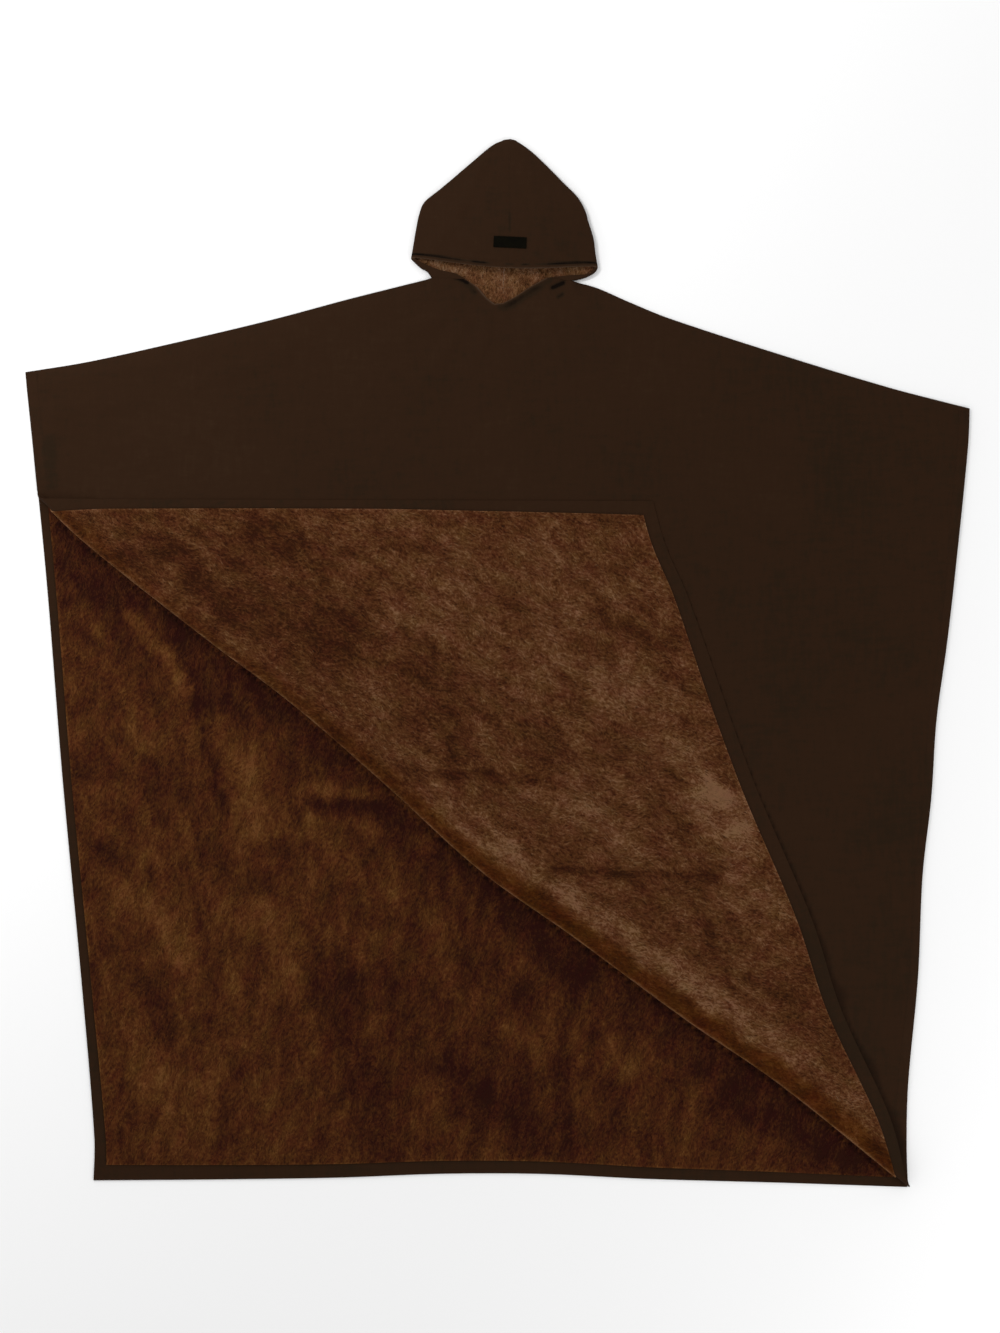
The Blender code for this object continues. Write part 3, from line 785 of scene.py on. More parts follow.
# Small tucks where the neck is gathered into the hood's seam, with painted shadows and a painted
# highlight round them.
NECK_PAINTED_SHADING = table(
    SWELL_COLUMNS,
    (88, 597, 104, 604, 5.5, -0.75),
    (97, 582, 103, 586, 5, -0.35),
    (-66, 612, -48, 606, 6, -0.5),
    (-48, 604, -36, 590, 8, -0.25),
    (62, 596, 20, 571, 15, -0.20),
    (-32, 594, -8, 572, 5, 0.22),
    (-712, 350, -706, 285, 16, -0.14),
)
NECK_TUCKS = table(
    SWELL_COLUMNS,
    (86, 596, 106, 605, 7, -2.6),
    (84, 605, 102, 612, 7, 1.2),
    (97, 582, 104, 587, 6, -1.0),
    (-68, 614, -46, 606, 8, -1.6),
    (60, 592, 26, 574, 10, -1.0),
)


# The plush lies smooth along the roll and is painted darker there as its shade, with a painted
# highlight on a crest and a duller strip past it.
SMOOTH_WIDE, SMOOTH_MORE, SMOOTH_FADE = 14, 10, 12
CREST_IN, CREST_WIDE, BEYOND_IN = 46, 14, 80
# A painted highlight runs along its pile this far round the roll, in radians.
ROLL_HIGHLIGHT_TURN, ROLL_HIGHLIGHT_WIDE = 1.9, 0.45
# The painted shadow beside the flap's edge is widest at its lower end.
EDGE_SHADE = ((-750, -350, 250), (0.42, 1.0, 3.0))


def distance_from(line, places):
    """How far places in the plan lie from a line of points."""
    least = np.full(len(places), 1e9)
    for a, b in zip(line, line[1:]):
        away, step = places[:, :2] - a, b - a
        share = np.clip(away @ step / (step @ step), 0, 1)
        least = np.minimum(least, np.linalg.norm(away - share[:, None] * step, axis=1))
    return least


def unfolded(places, turned):
    """Where places in the plan lie in the cloth before it is folded."""
    away = places - FOLD_START
    along = away @ FOLD_ALONG
    let_out = HALF_TURN - ROLL_REACH + read(FOLD_BOW, along / FOLD_LENGTH)
    across = away @ FOLD_ACROSS + let_out
    across = -across if turned else across
    return FOLD_START + np.outer(along, FOLD_ALONG) + np.outer(across, FOLD_ACROSS)


fold_share = (TIP_LEFT[1] - FOLD_START[1]) / (TIP_LEFT[1] - HEM_LEFT[1])
v_fold = nearest(vs, 0.86)
front_left = chained(
    vs,
    (v_fold, lambda s: unfolded(drawn(FLAP_CORNER, FOLD_START, STRAIGHT, s), True)),
    (1.0, lambda s: unfolded(drawn(TIP_LEFT, HEM_LEFT, LEFT_SIDE, fold_share * (1 - s)), False)),
)
neck_at = [nearest(us, u) for u in (0.460, 0.474, 0.484, 0.494, 0.503, 0.516, 0.533, 0.554)]
neck_places = [neck_left, *(on_hood(row.across, row.up) for row in NECK_V), neck_right]
front_top = shoulders(us, straight_parts((*neck_at, u_right), neck_places))
FRONT_SIDE_BORDER = table(
    "share width", (0, 23), (0.2, 18), (0.43, 14.5), (0.76, 15.5), (0.86, 20), (1, 20)
)
FRONT_HEM_BORDER = table("share width", (0, TURN_IN), (0.85, TURN_IN), (0.94, 19), (1, 13))
front_cut = flat_cut(
    us,
    vs,
    left=front_left,
    right=unfolded(drawn(HEM_RIGHT, TIP_RIGHT, RIGHT_SIDE, vs), False),
    hem=unfolded(drawn(FLAP_CORNER, FOLD_END, FLAP_HEM, us), True),
    top=unfolded(front_top, False),
    side_border=FRONT_SIDE_BORDER,
    hem_border=FRONT_HEM_BORDER,
)


def turned_up(flat, edge, seam):
    """Lays flat places of the front as they lie.

    Gives the places, the good side's direction there, how far they are round the roll, how far
    they lie inside it, and how far along the fold line.
    """
    away = flat[:, :2] - FOLD_START
    along, across = away @ FOLD_ALONG, away @ FOLD_ACROSS
    turn = np.clip((HALF_TURN - across) / ROLL_RADIUS, 0, math.pi)
    inside = np.maximum(np.abs(across) - HALF_TURN, 0)
    bow = read(FOLD_BOW, along / FOLD_LENGTH)
    plan_across = ROLL_REACH - bow - ROLL_RADIUS * np.sin(turn) + inside
    plan = FOLD_START + np.outer(along, FOLD_ALONG) + np.outer(plan_across, FOLD_ACROSS)
    height = FRONT_Z + ROLL_RADIUS * (1 - np.cos(turn))
    ripple = RIPPLE_HEIGHT * (1 + wander(plan, RIPPLE_WIDTH, 1.0))
    low = height + swells(plan, FRONT_SWELLS) + swells(plan, NECK_TUCKS)
    low += np.maximum(swells(plan, FRONT_CREASES, 0.5, 7.0) + ripple, 0)
    fade = np.clip(inside / EDGE_FADE, 0, 1)
    low += (SEWN_EDGE_Z - low) * fade * (1 - seam) ** 1.5
    low += (OPEN_EDGE_Z - low) * fade * (1 - edge) ** 1.5
    settled = 0.5 - 0.5 * np.cos(math.pi * np.clip(inside / SETTLE, 0, 1))
    top = FLAP_Z + swells(plan, FLAP_SWELLS)
    creased = swells(plan, FLAP_CREASES, 0.5, 11.0) + ripple + pile(plan, 0.35, 12.0)
    high = height + (top - height) * settled + np.maximum(creased, 0) * settled * edge
    place_z = np.where(turn <= 0, low, np.where(turn >= math.pi, high, height))
    facing = np.column_stack((np.sin(turn)[:, None] * FOLD_ACROSS, np.cos(turn)))
    return np.column_stack((plan, place_z)), facing, turn, inside, along


def turned_mesh(name, keep, off_seam):
    """A mesh of a piece of the front as it lies, this far to its good side. Adds how it lies."""
    mesh = as_mesh(name, front_piece(keep))
    edge, seam = (np.zeros(len(mesh.vertices), np.float32) for _ in range(2))
    mesh.attributes["edge"].data.foreach_get("value", edge)
    mesh.attributes["seam"].data.foreach_get("value", seam)
    places, facing, *lie = turned_up(mesh_places(mesh), edge, seam)
    set_places(mesh, places + facing * off_seam)
    return mesh, places, *lie


NECK_BOX = ((-140, 140), (490, 660))
NECK_CUTS = 3


def middle_of(face):
    """The middle of a face in the plan, in mm."""
    return np.array(face.calc_center_median().xy) / MM


def finer_neck(cloth):
    """Divides the cells round the neck, where the cloth has its smallest tucks."""
    near = set()
    for face in cloth.faces:
        x, y = middle_of(face)
        if NECK_BOX[0][0] < x < NECK_BOX[0][1] and NECK_BOX[1][0] < y < NECK_BOX[1][1]:
            near.update(face.edges)
    bmesh.ops.subdivide_edges(cloth, edges=list(near), cuts=NECK_CUTS, use_grid_fill=True)


def front_piece(keep):
    """A flat piece of the front, with close grid lines where it will roll over."""
    cloth = woven(front_cut, keep)
    finer_neck(cloth)
    for k in range(ROLL_CUTS + 1):
        across = HALF_TURN * (2 * k / ROLL_CUTS - 1)
        place = (FOLD_START + FOLD_ACROSS * across) * MM
        near = [
            face
            for face in cloth.faces
            if abs((middle_of(face) - FOLD_START) @ FOLD_ACROSS) < NEAR_ROLL
        ]
        geom = set(near)
        geom.update(edge for face in near for edge in face.edges)
        geom.update(vert for face in near for vert in face.verts)
        bmesh.ops.bisect_plane(
            cloth,
            geom=list(geom),
            dist=0.1 * MM,
            plane_co=(*place, 0),
            plane_no=(*FOLD_ACROSS, 0),
        )
    return cloth


flap_plush = plush_finish(
    "tan_brown_plush",
    118,
    1.0,
    (0.0250, 0.0064, 0.0018),
    (0.0455, 0.0128, 0.0034),
    (0.0720, 0.0236, 0.0068),
    (0.1090, 0.0435, 0.0160),
    (0.1700, 0.0820, 0.0390),
    (0.50, 0.25, 0.12),
)
front_mesh, places, turn, *_ = turned_mesh("front_cloth", lambda i, j: True, SEAM_HALF)
# Painted shade, darker towards the right.
painted_shade_right = -0.05 * np.clip((places[:, 0] - 250) / 300, 0, 1)
# How far places lie off the flap's edge, for the painted shadow beside it.
flap_edge = drawn(FLAP_CORNER, FOLD_END, FLAP_HEM, np.linspace(0.01, 0.94, 47))
off_edge = np.where(turn <= 0, distance_from(flap_edge, places), 1000)
off_edge *= np.interp(places[:, 1], *EDGE_SHADE) + 0.5 * wander(places, 55, 23.0)
# A painted highlight along the V's edge, and a painted shadow beside its right side.
V_HIGHLIGHT_WIDE, V_SHADOW_OFF, V_SHADOW_WIDE = 1.4, 7, 4.5
v_line = np.array([on_hood(row.across, row.up) for row in NECK_V])
v_painted_highlight = soft_line(distance_from(v_line, places), V_HIGHLIGHT_WIDE)
v_shadow = soft_line(distance_from(v_line[4:], places) - V_SHADOW_OFF, V_SHADOW_WIDE)
tone = 0.5 + swells(places, NECK_PAINTED_SHADING) + painted_shade_right + 0.85 * v_painted_highlight - 0.16 * v_shadow
shade_points(front_mesh, tone, off_edge)
front_cloth = sewn_in(
    "front_outer_cloth", front_mesh, SHELL, 1, shell_finish, "shell", "front_shell"
)

border_mesh, places, turn, *_ = turned_mesh("front_border", in_border, -SEAM_HALF)
lower_end = np.clip((-300 - places[:, 1]) / 250, 0, 1) * (turn >= math.pi)
shade_points(border_mesh, BORDER_TONE - 0.08 * lower_end)
front_border = sewn_in(
    "front_turned_in_edge", border_mesh, FACING, -1, shell_finish, "shell", "front_edge_facing"
)

lining_mesh, places, turn, inside, along = turned_mesh("front_lining", in_lining, -SEAM_HALF)
share = along / FOLD_LENGTH
late = np.clip((share - 0.25) / 0.3, 0, 1)
wavy = inside + 8 * wander(places, 60, 17.0)
smooth_from = SMOOTH_WIDE + SMOOTH_MORE * late + 6 * wander(places, 34, 16.0)
smooth_band = np.clip((smooth_from - wavy) / SMOOTH_FADE, 0, 1) * (turn > 1.7)
crest_at = CREST_IN + 8 * late * share
crest_highlight = soft_line(wavy - crest_at, CREST_WIDE) * (turn >= math.pi) * late
crest_highlight *= np.clip(0.75 + 0.9 * wander(places, 48, 18.0), 0.1, 1.5)
beyond = soft_line(wavy - BEYOND_IN, CREST_WIDE) * late
beyond *= np.clip(0.4 + wander(places, 90, 19.0), 0, 1)
rim = soft_line(turn - ROLL_HIGHLIGHT_TURN, ROLL_HIGHLIGHT_WIDE) * (1 + 0.5 * wander(places, 40, 25.0))
tone = 0.51 + 0.56 * swells(places, FLAP_TONES, 0.8, 14.0)
tone += 0.11 * streaks(places, 30, 35, 50, 57.0) + 0.07 * streaks(places, 17, 20, 40, 59.0)
# Painted highlight on the crest, and painted shade over the smooth band on the roll.
tone += 0.15 * crest_highlight - 0.10 * beyond - (0.15 + 0.10 * late) * smooth_band
# Painted highlight along the roll's edge.
tone += (0.5 + 0.2 * late) * rim
shade_points(lining_mesh, tone)
add_points(lining_mesh, "flattened", smooth_band * (0.5 + 0.5 * late))
front_lining = sewn_in(
    "front_plush_lining", lining_mesh, PLUSH, -1, flap_plush, "plush", "front_lining"
)

# Hood. Two panels of the outer cloth, joined by a centre seam from brow to peak and over to the
# nape, and lined with the plush. It lies face up and flattened, its brow hem above the open mouth.
HOOD_ROWS = table(
    "up left right crown loft",
    (0, 148.5, 148.5, 26, 12),
    (20, 146, 144, 28, 13),
    (45, 143, 139.5, 29, 13),
    (70, 139, 130.5, 28, 13),
    (90, 131.5, 123.5, 26, 13),
    (110, 109.5, 110.5, 23.5, 12.5),
    (127, 91, 92, 21, 12),
    (144, 73, 73.5, 19, 12),
    (160, 56, 56, 17, 11.5),
    (177, 38, 36, 15, 11),
    (188, 24, 20, 12.5, 10.5),
    (193, 13, 11, 10.6, 10),
)
SEAM_SHUT = 0.02
SEAM_SHOWS = table(
    "up share", (0, 0), (44, 0.1), (50, 0.9), (72, 1), (78, 0.22), (120, 0.2), (165, 0.2),
    (176, 0.05), (196, 0)
)
SEAM_LEAN = table("up to_right", (0, 7.4), (30, 7.0), (55, 5.8), (110, 2.6), (165, 0), (196, 0))
ROUND_FROM, PEAK_UP, PEAK_Z = 193.0, 196.0, 5.0
BROW_DIP = 10.6
LEFT_NECK = table(
    "row lip lip_up side side_up nape_up",
    (0, 60, -29, 114, -30, -40),
    (1, 78, -21, 122, -20.5, -32),
    (2, 102, -16.8, 132, -15.5, -24),
    (3, 126, -8.4, 141, -8.5, -16),
    (4, 141.5, -1.5, 148.3, -1.5, -8),
)
RIGHT_NECK = table(
    "row lip lip_up side side_up nape_up",
    (0, 68.5, -20.5, 108, -24, -40),
    (1, 105, -15.3, 127, -19, -32),
    (2, 131, -12.5, 138, -13.5, -24),
    (3, 138.3, -8, 145, -8, -16),
    (4, 141.5, -2, 148.3, -2, -8),
)
NECK_LOFT = 10.6
BROW_HEM = 6.0
DIP_REACH = 20.0
TOP_STEPS, SIDE_STEPS, UNDER_STEPS = 34, 10, 16
NEAR_SEAM = (0, 0.012, 0.026, 0.045)
NECK_STEPS = 16
HOOD_LINING_GAP = 0.5
HOOD_UPS = np.concatenate(
    (np.linspace(0, 12, 13), np.arange(14, 190, 3.5), (190, 192, 193, 194, 195, 195.7))
)


def hood_top(across, up):
    """The height of the hood's upper side over a place on it. Across is less than 0 on its left."""
    lean = read(SEAM_LEAN, up)
    side = np.where(across < lean, -1, 1)
    half = np.where(side < 0, read(HOOD_ROWS, up, 1), read(HOOD_ROWS, up, 2))
    crown, loft = read(HOOD_ROWS, up, 3), read(HOOD_ROWS, up, 4)
    fold = half - loft / 2
    off_seam = np.abs(across - lean) / (1 - side * lean / fold)
    return loft + (crown - loft) * (1 - np.clip(off_seam / fold, 0, 1) ** 2)


def brow_dip(across, up, fold):
    """How far the brow's edge sags towards the neck at a place on the hood's upper side."""
    over = np.clip(1 - (across / fold) ** 2, 0, 1) ** 1.5
    return BROW_DIP * np.clip(1 - up / DIP_REACH, 0, 1) * over


def hood_points(side):
    """Points of one half of the hood, row by row from the nape to the peak: across, up, height."""
    neck = LEFT_NECK if side < 0 else RIGHT_NECK
    rows = []
    over = np.concatenate((NEAR_SEAM, np.linspace(0.07, 1, TOP_STEPS - len(NEAR_SEAM) + 1)[:-1]))
    under = np.arange(UNDER_STEPS + 1) / UNDER_STEPS
    angles = math.pi * (0.5 - np.arange(SIDE_STEPS) / SIDE_STEPS)

    def across_from(start, fold, radius):
        """Places from a start over the top to the fold, round the side and back below."""
        top, below = start + (fold - start) * over, fold + (SEAM_HALF - fold) * under
        return top, np.concatenate((top, fold + radius * np.cos(angles), below))

    def heights(top, loft):
        side_heights = loft / 2 + loft / 2 * np.sin(angles)
        return np.concatenate((top, side_heights, np.zeros(UNDER_STEPS + 1)))

    for at in np.linspace(0, 4, NECK_STEPS + 1):
        lip, lip_up, half, side_up, nape_up = (read(neck, at, c) for c in range(1, 6))
        joined = max(1 - at, 0)
        lip_up -= GAP * joined
        side_up -= GAP * joined
        loft = NECK_LOFT - 1.4 * joined
        _, across = across_from(lip, half - loft / 2, loft / 2)
        from_lip = lip_up + (side_up - lip_up) * (across - lip) / (half - lip)
        from_nape = nape_up + (side_up - nape_up) * across / half
        upper = np.arange(len(across)) < TOP_STEPS + SIDE_STEPS / 2
        up = np.where(upper, from_lip, from_nape)
        rows.append(np.column_stack((across, up, heights(np.full(TOP_STEPS, loft), loft))))
    for at in HOOD_UPS:
        half, crown, loft = (read(HOOD_ROWS, at, c) for c in (1 if side < 0 else 2, 3, 4))
        if at > ROUND_FROM:
            to_peak = (at - ROUND_FROM) / (PEAK_UP - ROUND_FROM)
            half *= math.sqrt(1 - to_peak**2)
            loft -= (loft - PEAK_Z) * to_peak * 0.6
        radius = min(loft / 2, half / 2)
        fold = half - radius
        top_across, across = across_from(SEAM_SHUT, fold, radius)
        crown_part = 1 - np.clip(top_across / fold, 0, 1) ** 2
        seam = soft_line(top_across, 2.2) * read(SEAM_SHOWS, at)
        puckers = 0.8 + 0.4 * math.sin(at * 0.62) * math.sin(at * 0.23 + 1)
        hem_line = 1.5 * soft_line(at - BROW_HEM, 1.3) * np.clip(1.1 - 0.6 * crown_part, 0.4, 1)
        rolled = 1.6 * max(1 - at / 2.5, 0) ** 2
        top = loft + (crown - loft) * crown_part - 0.5 * puckers * seam - hem_line - rolled
        dip = brow_dip(across, at, fold)
        up = at - np.where(np.arange(len(across)) < TOP_STEPS, dip, 0)
        rows.append(np.column_stack((across, up, heights(top, loft))))
    peak = np.tile((SEAM_HALF, PEAK_UP, PEAK_Z), (len(rows[0]), 1))
    return np.array([*rows, peak])


HOOD_CREASES = table(
    SWELL_COLUMNS,
    (-60, 715, -20, 800, 16, 1.3),
    (70, 700, 45, 790, 15, 1.2),
    (-95, 665, -60, 720, 18, 1.2),
    (100, 660, 75, 730, 16, 1.0),
    (-30, 660, -45, 690, 12, 0.8),
    (60, 655, 66, 690, 12, 0.8),
)


def hood_half(side, inset=0.0):
    """One half of the hood as a sheet. An inset one lies inside, and has no lower lip."""
    points = hood_points(side)
    last_row, last_column = points.shape[0] - 1, points.shape[1] - 1
    from_middle = side * points[:, :, 0]
    top = points[NECK_STEPS + 1:, :TOP_STEPS, 0]
    beside_seam = 1 - np.clip(top / points[NECK_STEPS + 1:, TOP_STEPS, None, 0], 0, 1)
    from_middle[NECK_STEPS + 1:, :TOP_STEPS] += (
        beside_seam * read(SEAM_LEAN, points[NECK_STEPS + 1:, TOP_STEPS, 1])[:, None]
    )
    sheet = bmesh.new()
    bmesh.ops.create_grid(sheet, x_segments=last_column, y_segments=last_row, size=1)
    grain = sheet.loops.layers.uv.new("grain")
    cell = {}
    for vert in sheet.verts:
        row = round((vert.co.y + 1) / 2 * last_row)
        column = round((vert.co.x + 1) / 2 * last_column)
        _, up, height = points[row, column]
        place = on_hood(from_middle[row, column], up)
        cell[vert] = row, column
        vert.co = (place[0] * MM, place[1] * MM, height * MM)
    if side < 0:
        bmesh.ops.reverse_faces(sheet, faces=sheet.faces[:])
    for face in sheet.faces:
        for loop in face.loops:
            row, column = cell[loop.vert]
            across, up, _ = points[row, column]
            flat_up = up if column <= TOP_STEPS + SIDE_STEPS / 2 else -up
            loop[grain].uv = (side * across * MM, flat_up * MM)
    brow = NECK_STEPS + 1

    def cut_away(rows, columns):
        gone = [
            face
            for face in sheet.faces
            if all(cell[v][0] in rows and cell[v][1] in columns for v in face.verts)
        ]
        bmesh.ops.delete(sheet, geom=gone, context="FACES_ONLY")

    over_top = range(TOP_STEPS + 1)
    cut_away((brow - 1, brow), over_top)
    if inset:
        sheet.normal_update()
        moves = {vert: vert.normal * inset * MM for vert in sheet.verts}
        for vert, move in moves.items():
            vert.co -= move
        cut_away(range(brow), range(TOP_STEPS + 3))
        cut_away(range(brow, brow + 6), over_top)
        cut_away(range(NECK_STEPS // 2 + 1), range(TOP_STEPS + SIDE_STEPS + 1))
        cut_away(range(last_row - 4, last_row + 1), range(last_column + 1))
    loose = [vert for vert in sheet.verts if not vert.link_faces]
    bmesh.ops.delete(sheet, geom=loose, context="VERTS")
    bmesh.ops.remove_doubles(sheet, verts=sheet.verts[:], dist=0.03 * MM)
    return sheet


def hood_relief(places):
    """Soft folds on the hood's upper side."""
    upper = np.clip((places[:, 2] - 9) / 5, 0, 1)
    return upper * (swells(places, HOOD_CREASES, 0.4, 31.0) + 0.5 * wander(places, 60, 33.0))


def hood_mesh(name, side, inset=0.0):
    """A mesh of one half of the hood with its soft folds, and its points."""
    mesh = as_mesh(name, hood_half(side, inset))
    places = mesh_places(mesh)
    places[:, 2] += hood_relief(places)
    set_places(mesh, places)
    return mesh, places


HEM_SHOWS = table(
    "across share", (-150, 1), (-110, 1), (-85, 0.75), (-66, 0.5), (-58, 0.15), (-50, 0.8),
    (-30, 0.8), (-22, 0.1), (0, 0.1), (5, 0.5), (12, 0.5), (16, 0.1), (25, 0.1), (30, 0.7),
    (36, 0.7), (42, 0.1), (55, 0.4), (85, 0.9), (130, 1), (150, 0.8)
)
BROW_FOLD, HEM_LINE_WIDE, SEAM_LINE_WIDE = 142, 1.6, 1.8
for word, side in (("left", -1), ("right", 1)):
    mesh, places = hood_mesh(f"hood_{word}_cloth", side)
    from_brow = places[:, :2] - BROW
    across, up = from_brow @ HOOD_RIGHT, from_brow @ HOOD_UP
    top_side = places[:, 2] > 8
    from_edge = up + brow_dip(across, up, BROW_FOLD)
    # Painted shade along the hem's stitched groove.
    hem_line = soft_line(from_edge - BROW_HEM, HEM_LINE_WIDE) * read(HEM_SHOWS, across)
    seam_line = soft_line(across - read(SEAM_LEAN, up), SEAM_LINE_WIDE) * read(SEAM_SHOWS, up)
    # Painted highlight along the brow's edge.
    brow_edge_highlight = soft_line(from_edge, HEM_LINE_WIDE) * (places[:, 2] > 6)
    tone = 0.5 - (0.6 * hem_line + 0.22 * seam_line) * top_side + 0.55 * brow_edge_highlight
    shade_points(mesh, tone)
    name, node_name = f"hood_{word}_cloth", f"hood_{word}_shell"
    piece = sewn_in(name, mesh, SHELL, -1, shell_finish, "shell", node_name)
    piece.modifiers["thickness"].use_even_offset = False
    mesh, places = hood_mesh(f"hood_{word}_fleece", side, SHELL + HOOD_LINING_GAP)
    # Painted light on the fleece under the brow, where the brow shades it.
    painted_light_under_brow = np.clip((places[:, 1] - 605) / 18, 0, 1)
    shade_points(mesh, 0.49 + 0.12 * wander(places, 22, 40.0) + 0.19 * painted_light_under_brow)
    name, node_name = f"hood_{word}_fleece", f"hood_{word}_lining"
    fleece = sewn_in(name, mesh, PLUSH, -1, hood_plush, "plush", node_name)

# Patch. A short piece of plain black woven tape, sewn flat over the centre seam near the brow.
# It carries nothing. A row of black stitches runs round it.
PATCH_MIDDLE = (7.4, 29.8)
PATCH_SIZE = (51.8, 17.4)
PATCH_STEPS = (30, 12)
patch_finish, tree, shader = dressed("black_tape", 0.8, 0.0, (0.1, 0.09, 0.08), 0.04)
grain = grain_of(tree)
shade = mixed(tree, (speckle(tree, grain, 900, 2), 0.5), (speckle(tree, grain, 60, 3), 0.4))
blacks = ramp(tree, shade, (0.3, (0.0010, 0.0007, 0.0002)), (0.7, (0.0032, 0.0024, 0.0006)))
tree.links.new(blacks, shader.inputs["Base Color"])
bumped(tree, shader, (ribs(tree, grain, 1100, "Y"), 0.0002))
tape = bmesh.new()
bmesh.ops.create_grid(tape, x_segments=PATCH_STEPS[0], y_segments=PATCH_STEPS[1], size=0.5)
tape_grain = tape.loops.layers.uv.new("grain")
for face in tape.faces:
    for loop in face.loops:
        flat = loop.vert.co.xy * MM
        loop[tape_grain].uv = (flat.x * PATCH_SIZE[0], flat.y * PATCH_SIZE[1])
for vert in tape.verts:
    rim = max(abs(vert.co.x) * 2, abs(vert.co.y) * 2)
    across = PATCH_MIDDLE[0] + vert.co.x * PATCH_SIZE[0]
    up = PATCH_MIDDLE[1] + vert.co.y * PATCH_SIZE[1]
    place = on_hood(across, up)
    here = np.array([[place[0], place[1], 20.0]])
    height = hood_top(across, up) + hood_relief(here)[0] + GAP - 0.35 * max(rim - 0.9, 0) * 10
    vert.co = (place[0] * MM, place[1] * MM, height * MM)
tape_mesh = as_mesh("tape", tape)
patch = sewn_in("blank_tape_patch", tape_mesh, SHELL, 1, patch_finish, "patch", "blank_patch")

# Stitching. Rows of lockstitch hold down the turned-in edges and the brow hem in brown thread, and
# the patch in black. Each stitch is one short, rounded bead, sunk a little into the cloth.
THREAD = 0.32
STITCH_PITCH, STITCH_LENGTH = 4.2, 3.1
BEAD_SIZE = np.array((STITCH_LENGTH / 2, THREAD, THREAD))
thread_finish, tree, shader = dressed("brown_thread", 0.7, 0.0, (0.4, 0.3, 0.2), 0.08)
grain = tree.nodes.new("ShaderNodeTexCoord").outputs["Object"]
shade = mixed(tree, (speckle(tree, grain, 700, 2), 0.8))
browns = ramp(tree, shade, (0.2, (0.0200, 0.0095, 0.0042)), (0.8, (0.0310, 0.0150, 0.0070)))
tree.links.new(browns, shader.inputs["Base Color"])
bead = bmesh.new()
bmesh.ops.create_uvsphere(bead, u_segments=6, v_segments=5, radius=1)
bead_mesh = as_mesh("bead", bead)
bead_points = np.array([v.co[:] for v in bead_mesh.vertices])


def unit(ways):
    return ways / np.linalg.norm(ways, axis=1)[:, None]


def stitched(name, runs, finish, slot):
    """Rows of stitches along runs of places with the cloth's upward directions, as one piece."""
    thread = bmesh.new()
    points = []
    for places, ups in runs:
        steps = np.linalg.norm(np.diff(places, axis=0), axis=1)
        reach = np.concatenate(((0,), np.cumsum(steps)))
        at = np.arange(STITCH_PITCH, reach[-1] - STITCH_PITCH, STITCH_PITCH)
        middle, ahead, up = (
            np.column_stack([np.interp(where, reach, line[:, k]) for k in range(3)])
            for where, line in ((at, places), (at + 1, places), (at, ups))
        )
        along = unit(ahead - middle)
        aside = unit(np.cross(up, along))
        for m, *ways in zip(middle, along, aside, np.cross(along, aside)):
            thread.from_mesh(bead_mesh)
            points.append(m + bead_points @ (np.array(ways) * BEAD_SIZE[:, None]))
    for vert, place in zip(thread.verts, np.concatenate(points) * MM):
        vert.co = place
    return sewn_in(name, poured(name, thread), 0, 0, finish, slot)


def border_lines(cut, into):
    """Flat lines inside the turned-in border, a little way out from where it ends."""
    b = BORDER_STEPS
    keep = 1 - into / TURN_IN
    lines = [
        cut[0] + (cut[b] - cut[0]) * keep,
        cut[-1] + (cut[-1 - b] - cut[-1]) * keep,
        cut[:, 0] + (cut[:, b] - cut[:, 0]) * keep,
    ]
    return [line[b:] if k < 2 else line[b:-b] for k, line in enumerate(lines)]


STITCH_IN = 3.0
SUNK = THREAD * 0.3


def facing_up(places):
    """Places, each with the upward direction."""
    return places, np.tile((0.0, 0.0, 1.0), (len(places), 1))


def on_top(across, up, lift, dip=0.0):
    """A run over the hood's upper side, lifted off it. Its dip moves it towards the neck."""
    plan = on_hood(across, up - dip)
    relief = hood_relief(np.column_stack((plan, np.full(len(plan), 20.0))))
    return facing_up(np.column_stack((plan, hood_top(across, up) + relief + lift)))


runs = []
for line in border_lines(back_cut, STITCH_IN):
    height = np.full(len(line), BACK_LINING_Z + FACING + SUNK)
    runs.append(facing_up(np.column_stack((line, height))))
stitched("back_edge_stitches", runs, thread_finish, "shell")

runs = []
for line in border_lines(front_cut, STITCH_IN):
    places, facing, *_ = turned_up(line, 1 - STITCH_IN / TURN_IN, 1.0)
    for way, lift in ((-1, FACING), (1, SHELL)):
        runs.append((places + facing * way * (SEAM_HALF + lift + SUNK), facing * way))
stitched("front_edge_stitches", runs, thread_finish, "shell")

runs = []
for side in (-1, 1):
    across = np.linspace(0.6, 134, 60)
    fold = read(HOOD_ROWS, BROW_HEM, 1 if side < 0 else 2) - read(HOOD_ROWS, BROW_HEM, 4) / 2
    dip = brow_dip(across, BROW_HEM, fold)
    runs.append(on_top(side * across, BROW_HEM, -1.1, dip))
stitched("brow_stitches", runs, thread_finish, "shell")

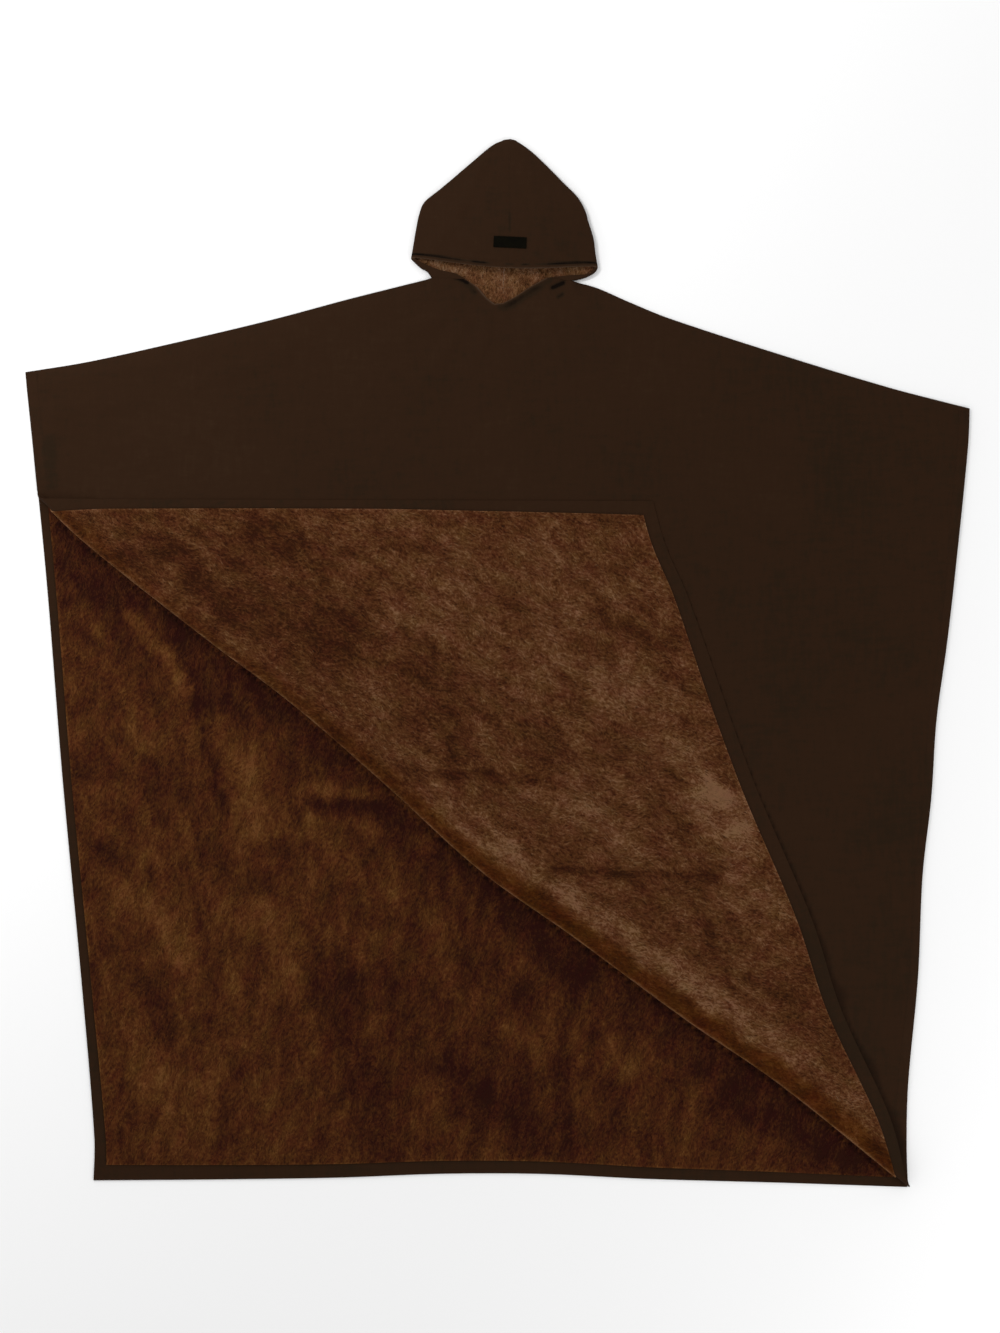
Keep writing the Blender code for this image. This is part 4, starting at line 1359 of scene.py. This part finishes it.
corners = np.array([(-1, -1), (1, -1), (1, 1), (-1, 1), (-1, -1)])
corners = corners * (np.array(PATCH_SIZE) / 2 - 1.8)
runs = []
for a, b in zip(corners, corners[1:]):
    line = a + np.outer(np.linspace(0, 1, 12), b - a) + PATCH_MIDDLE
    runs.append(on_top(line[:, 0], line[:, 1], GAP + SHELL))
stitched("patch_stitches", runs, patch_finish, "patch")
bpy.data.meshes.remove(bead_mesh)

# The cape lies on a plain pale floor under broad, soft studio lights, seen from straight above.
PHOTO_VIEW = 2.1159
LENS, SENSOR = 85.0, 36.0
CAMERA_OVER, CAMERA_LIFT = (0.0040, -0.0048), 0.008
boards = bmesh.new()
bmesh.ops.create_grid(boards, x_segments=1, y_segments=1, size=6.0)
bmesh.ops.translate(boards, verts=boards.verts[:], vec=(0, 0, -0.0003))
floor = set_down("floor", poured("floor", boards))
floor_finish, tree, shader = dressed("pale_floor", 0.9, 0.0, (1, 1, 1), 0.1)
shader.inputs["Base Color"].default_value = (0.97, 0.97, 0.97, 1)
floor.data.materials.append(floor_finish)

world = bpy.data.worlds.new("studio")
world.use_nodes = True
world.node_tree.nodes["Background"].inputs["Color"].default_value = (1, 1, 1, 1)
world.node_tree.nodes["Background"].inputs["Strength"].default_value = 0.76
bpy.context.scene.world = world

LIGHTS = table(
    "name x y z size power",
    ("key", -1.9, 1.7, 3.0, 1.3, 210),
    ("fill", 2.4, -1.2, 3.0, 2.4, 100),
)
for row in LIGHTS:
    data = bpy.data.lights.new(row.name, "AREA")
    data.shape = "DISK"
    data.size = row.size
    data.energy = row.power
    lamp = set_down(row.name, data)
    lamp.location = (row.x, row.y, row.z)
    aim = np.array((-row.x, -row.y, -row.z))
    tilt = math.acos(-aim[2] / np.linalg.norm(aim))
    lamp.rotation_euler = (tilt, 0, math.atan2(aim[0], -aim[1]))

camera_data = bpy.data.cameras.new("camera")
camera_data.lens = LENS
camera_data.sensor_width = SENSOR
camera = set_down("camera", camera_data)
camera.location = (*CAMERA_OVER, PHOTO_VIEW * LENS / SENSOR + CAMERA_LIFT)
bpy.context.scene.camera = camera
bpy.context.scene.view_settings.view_transform = "Standard"
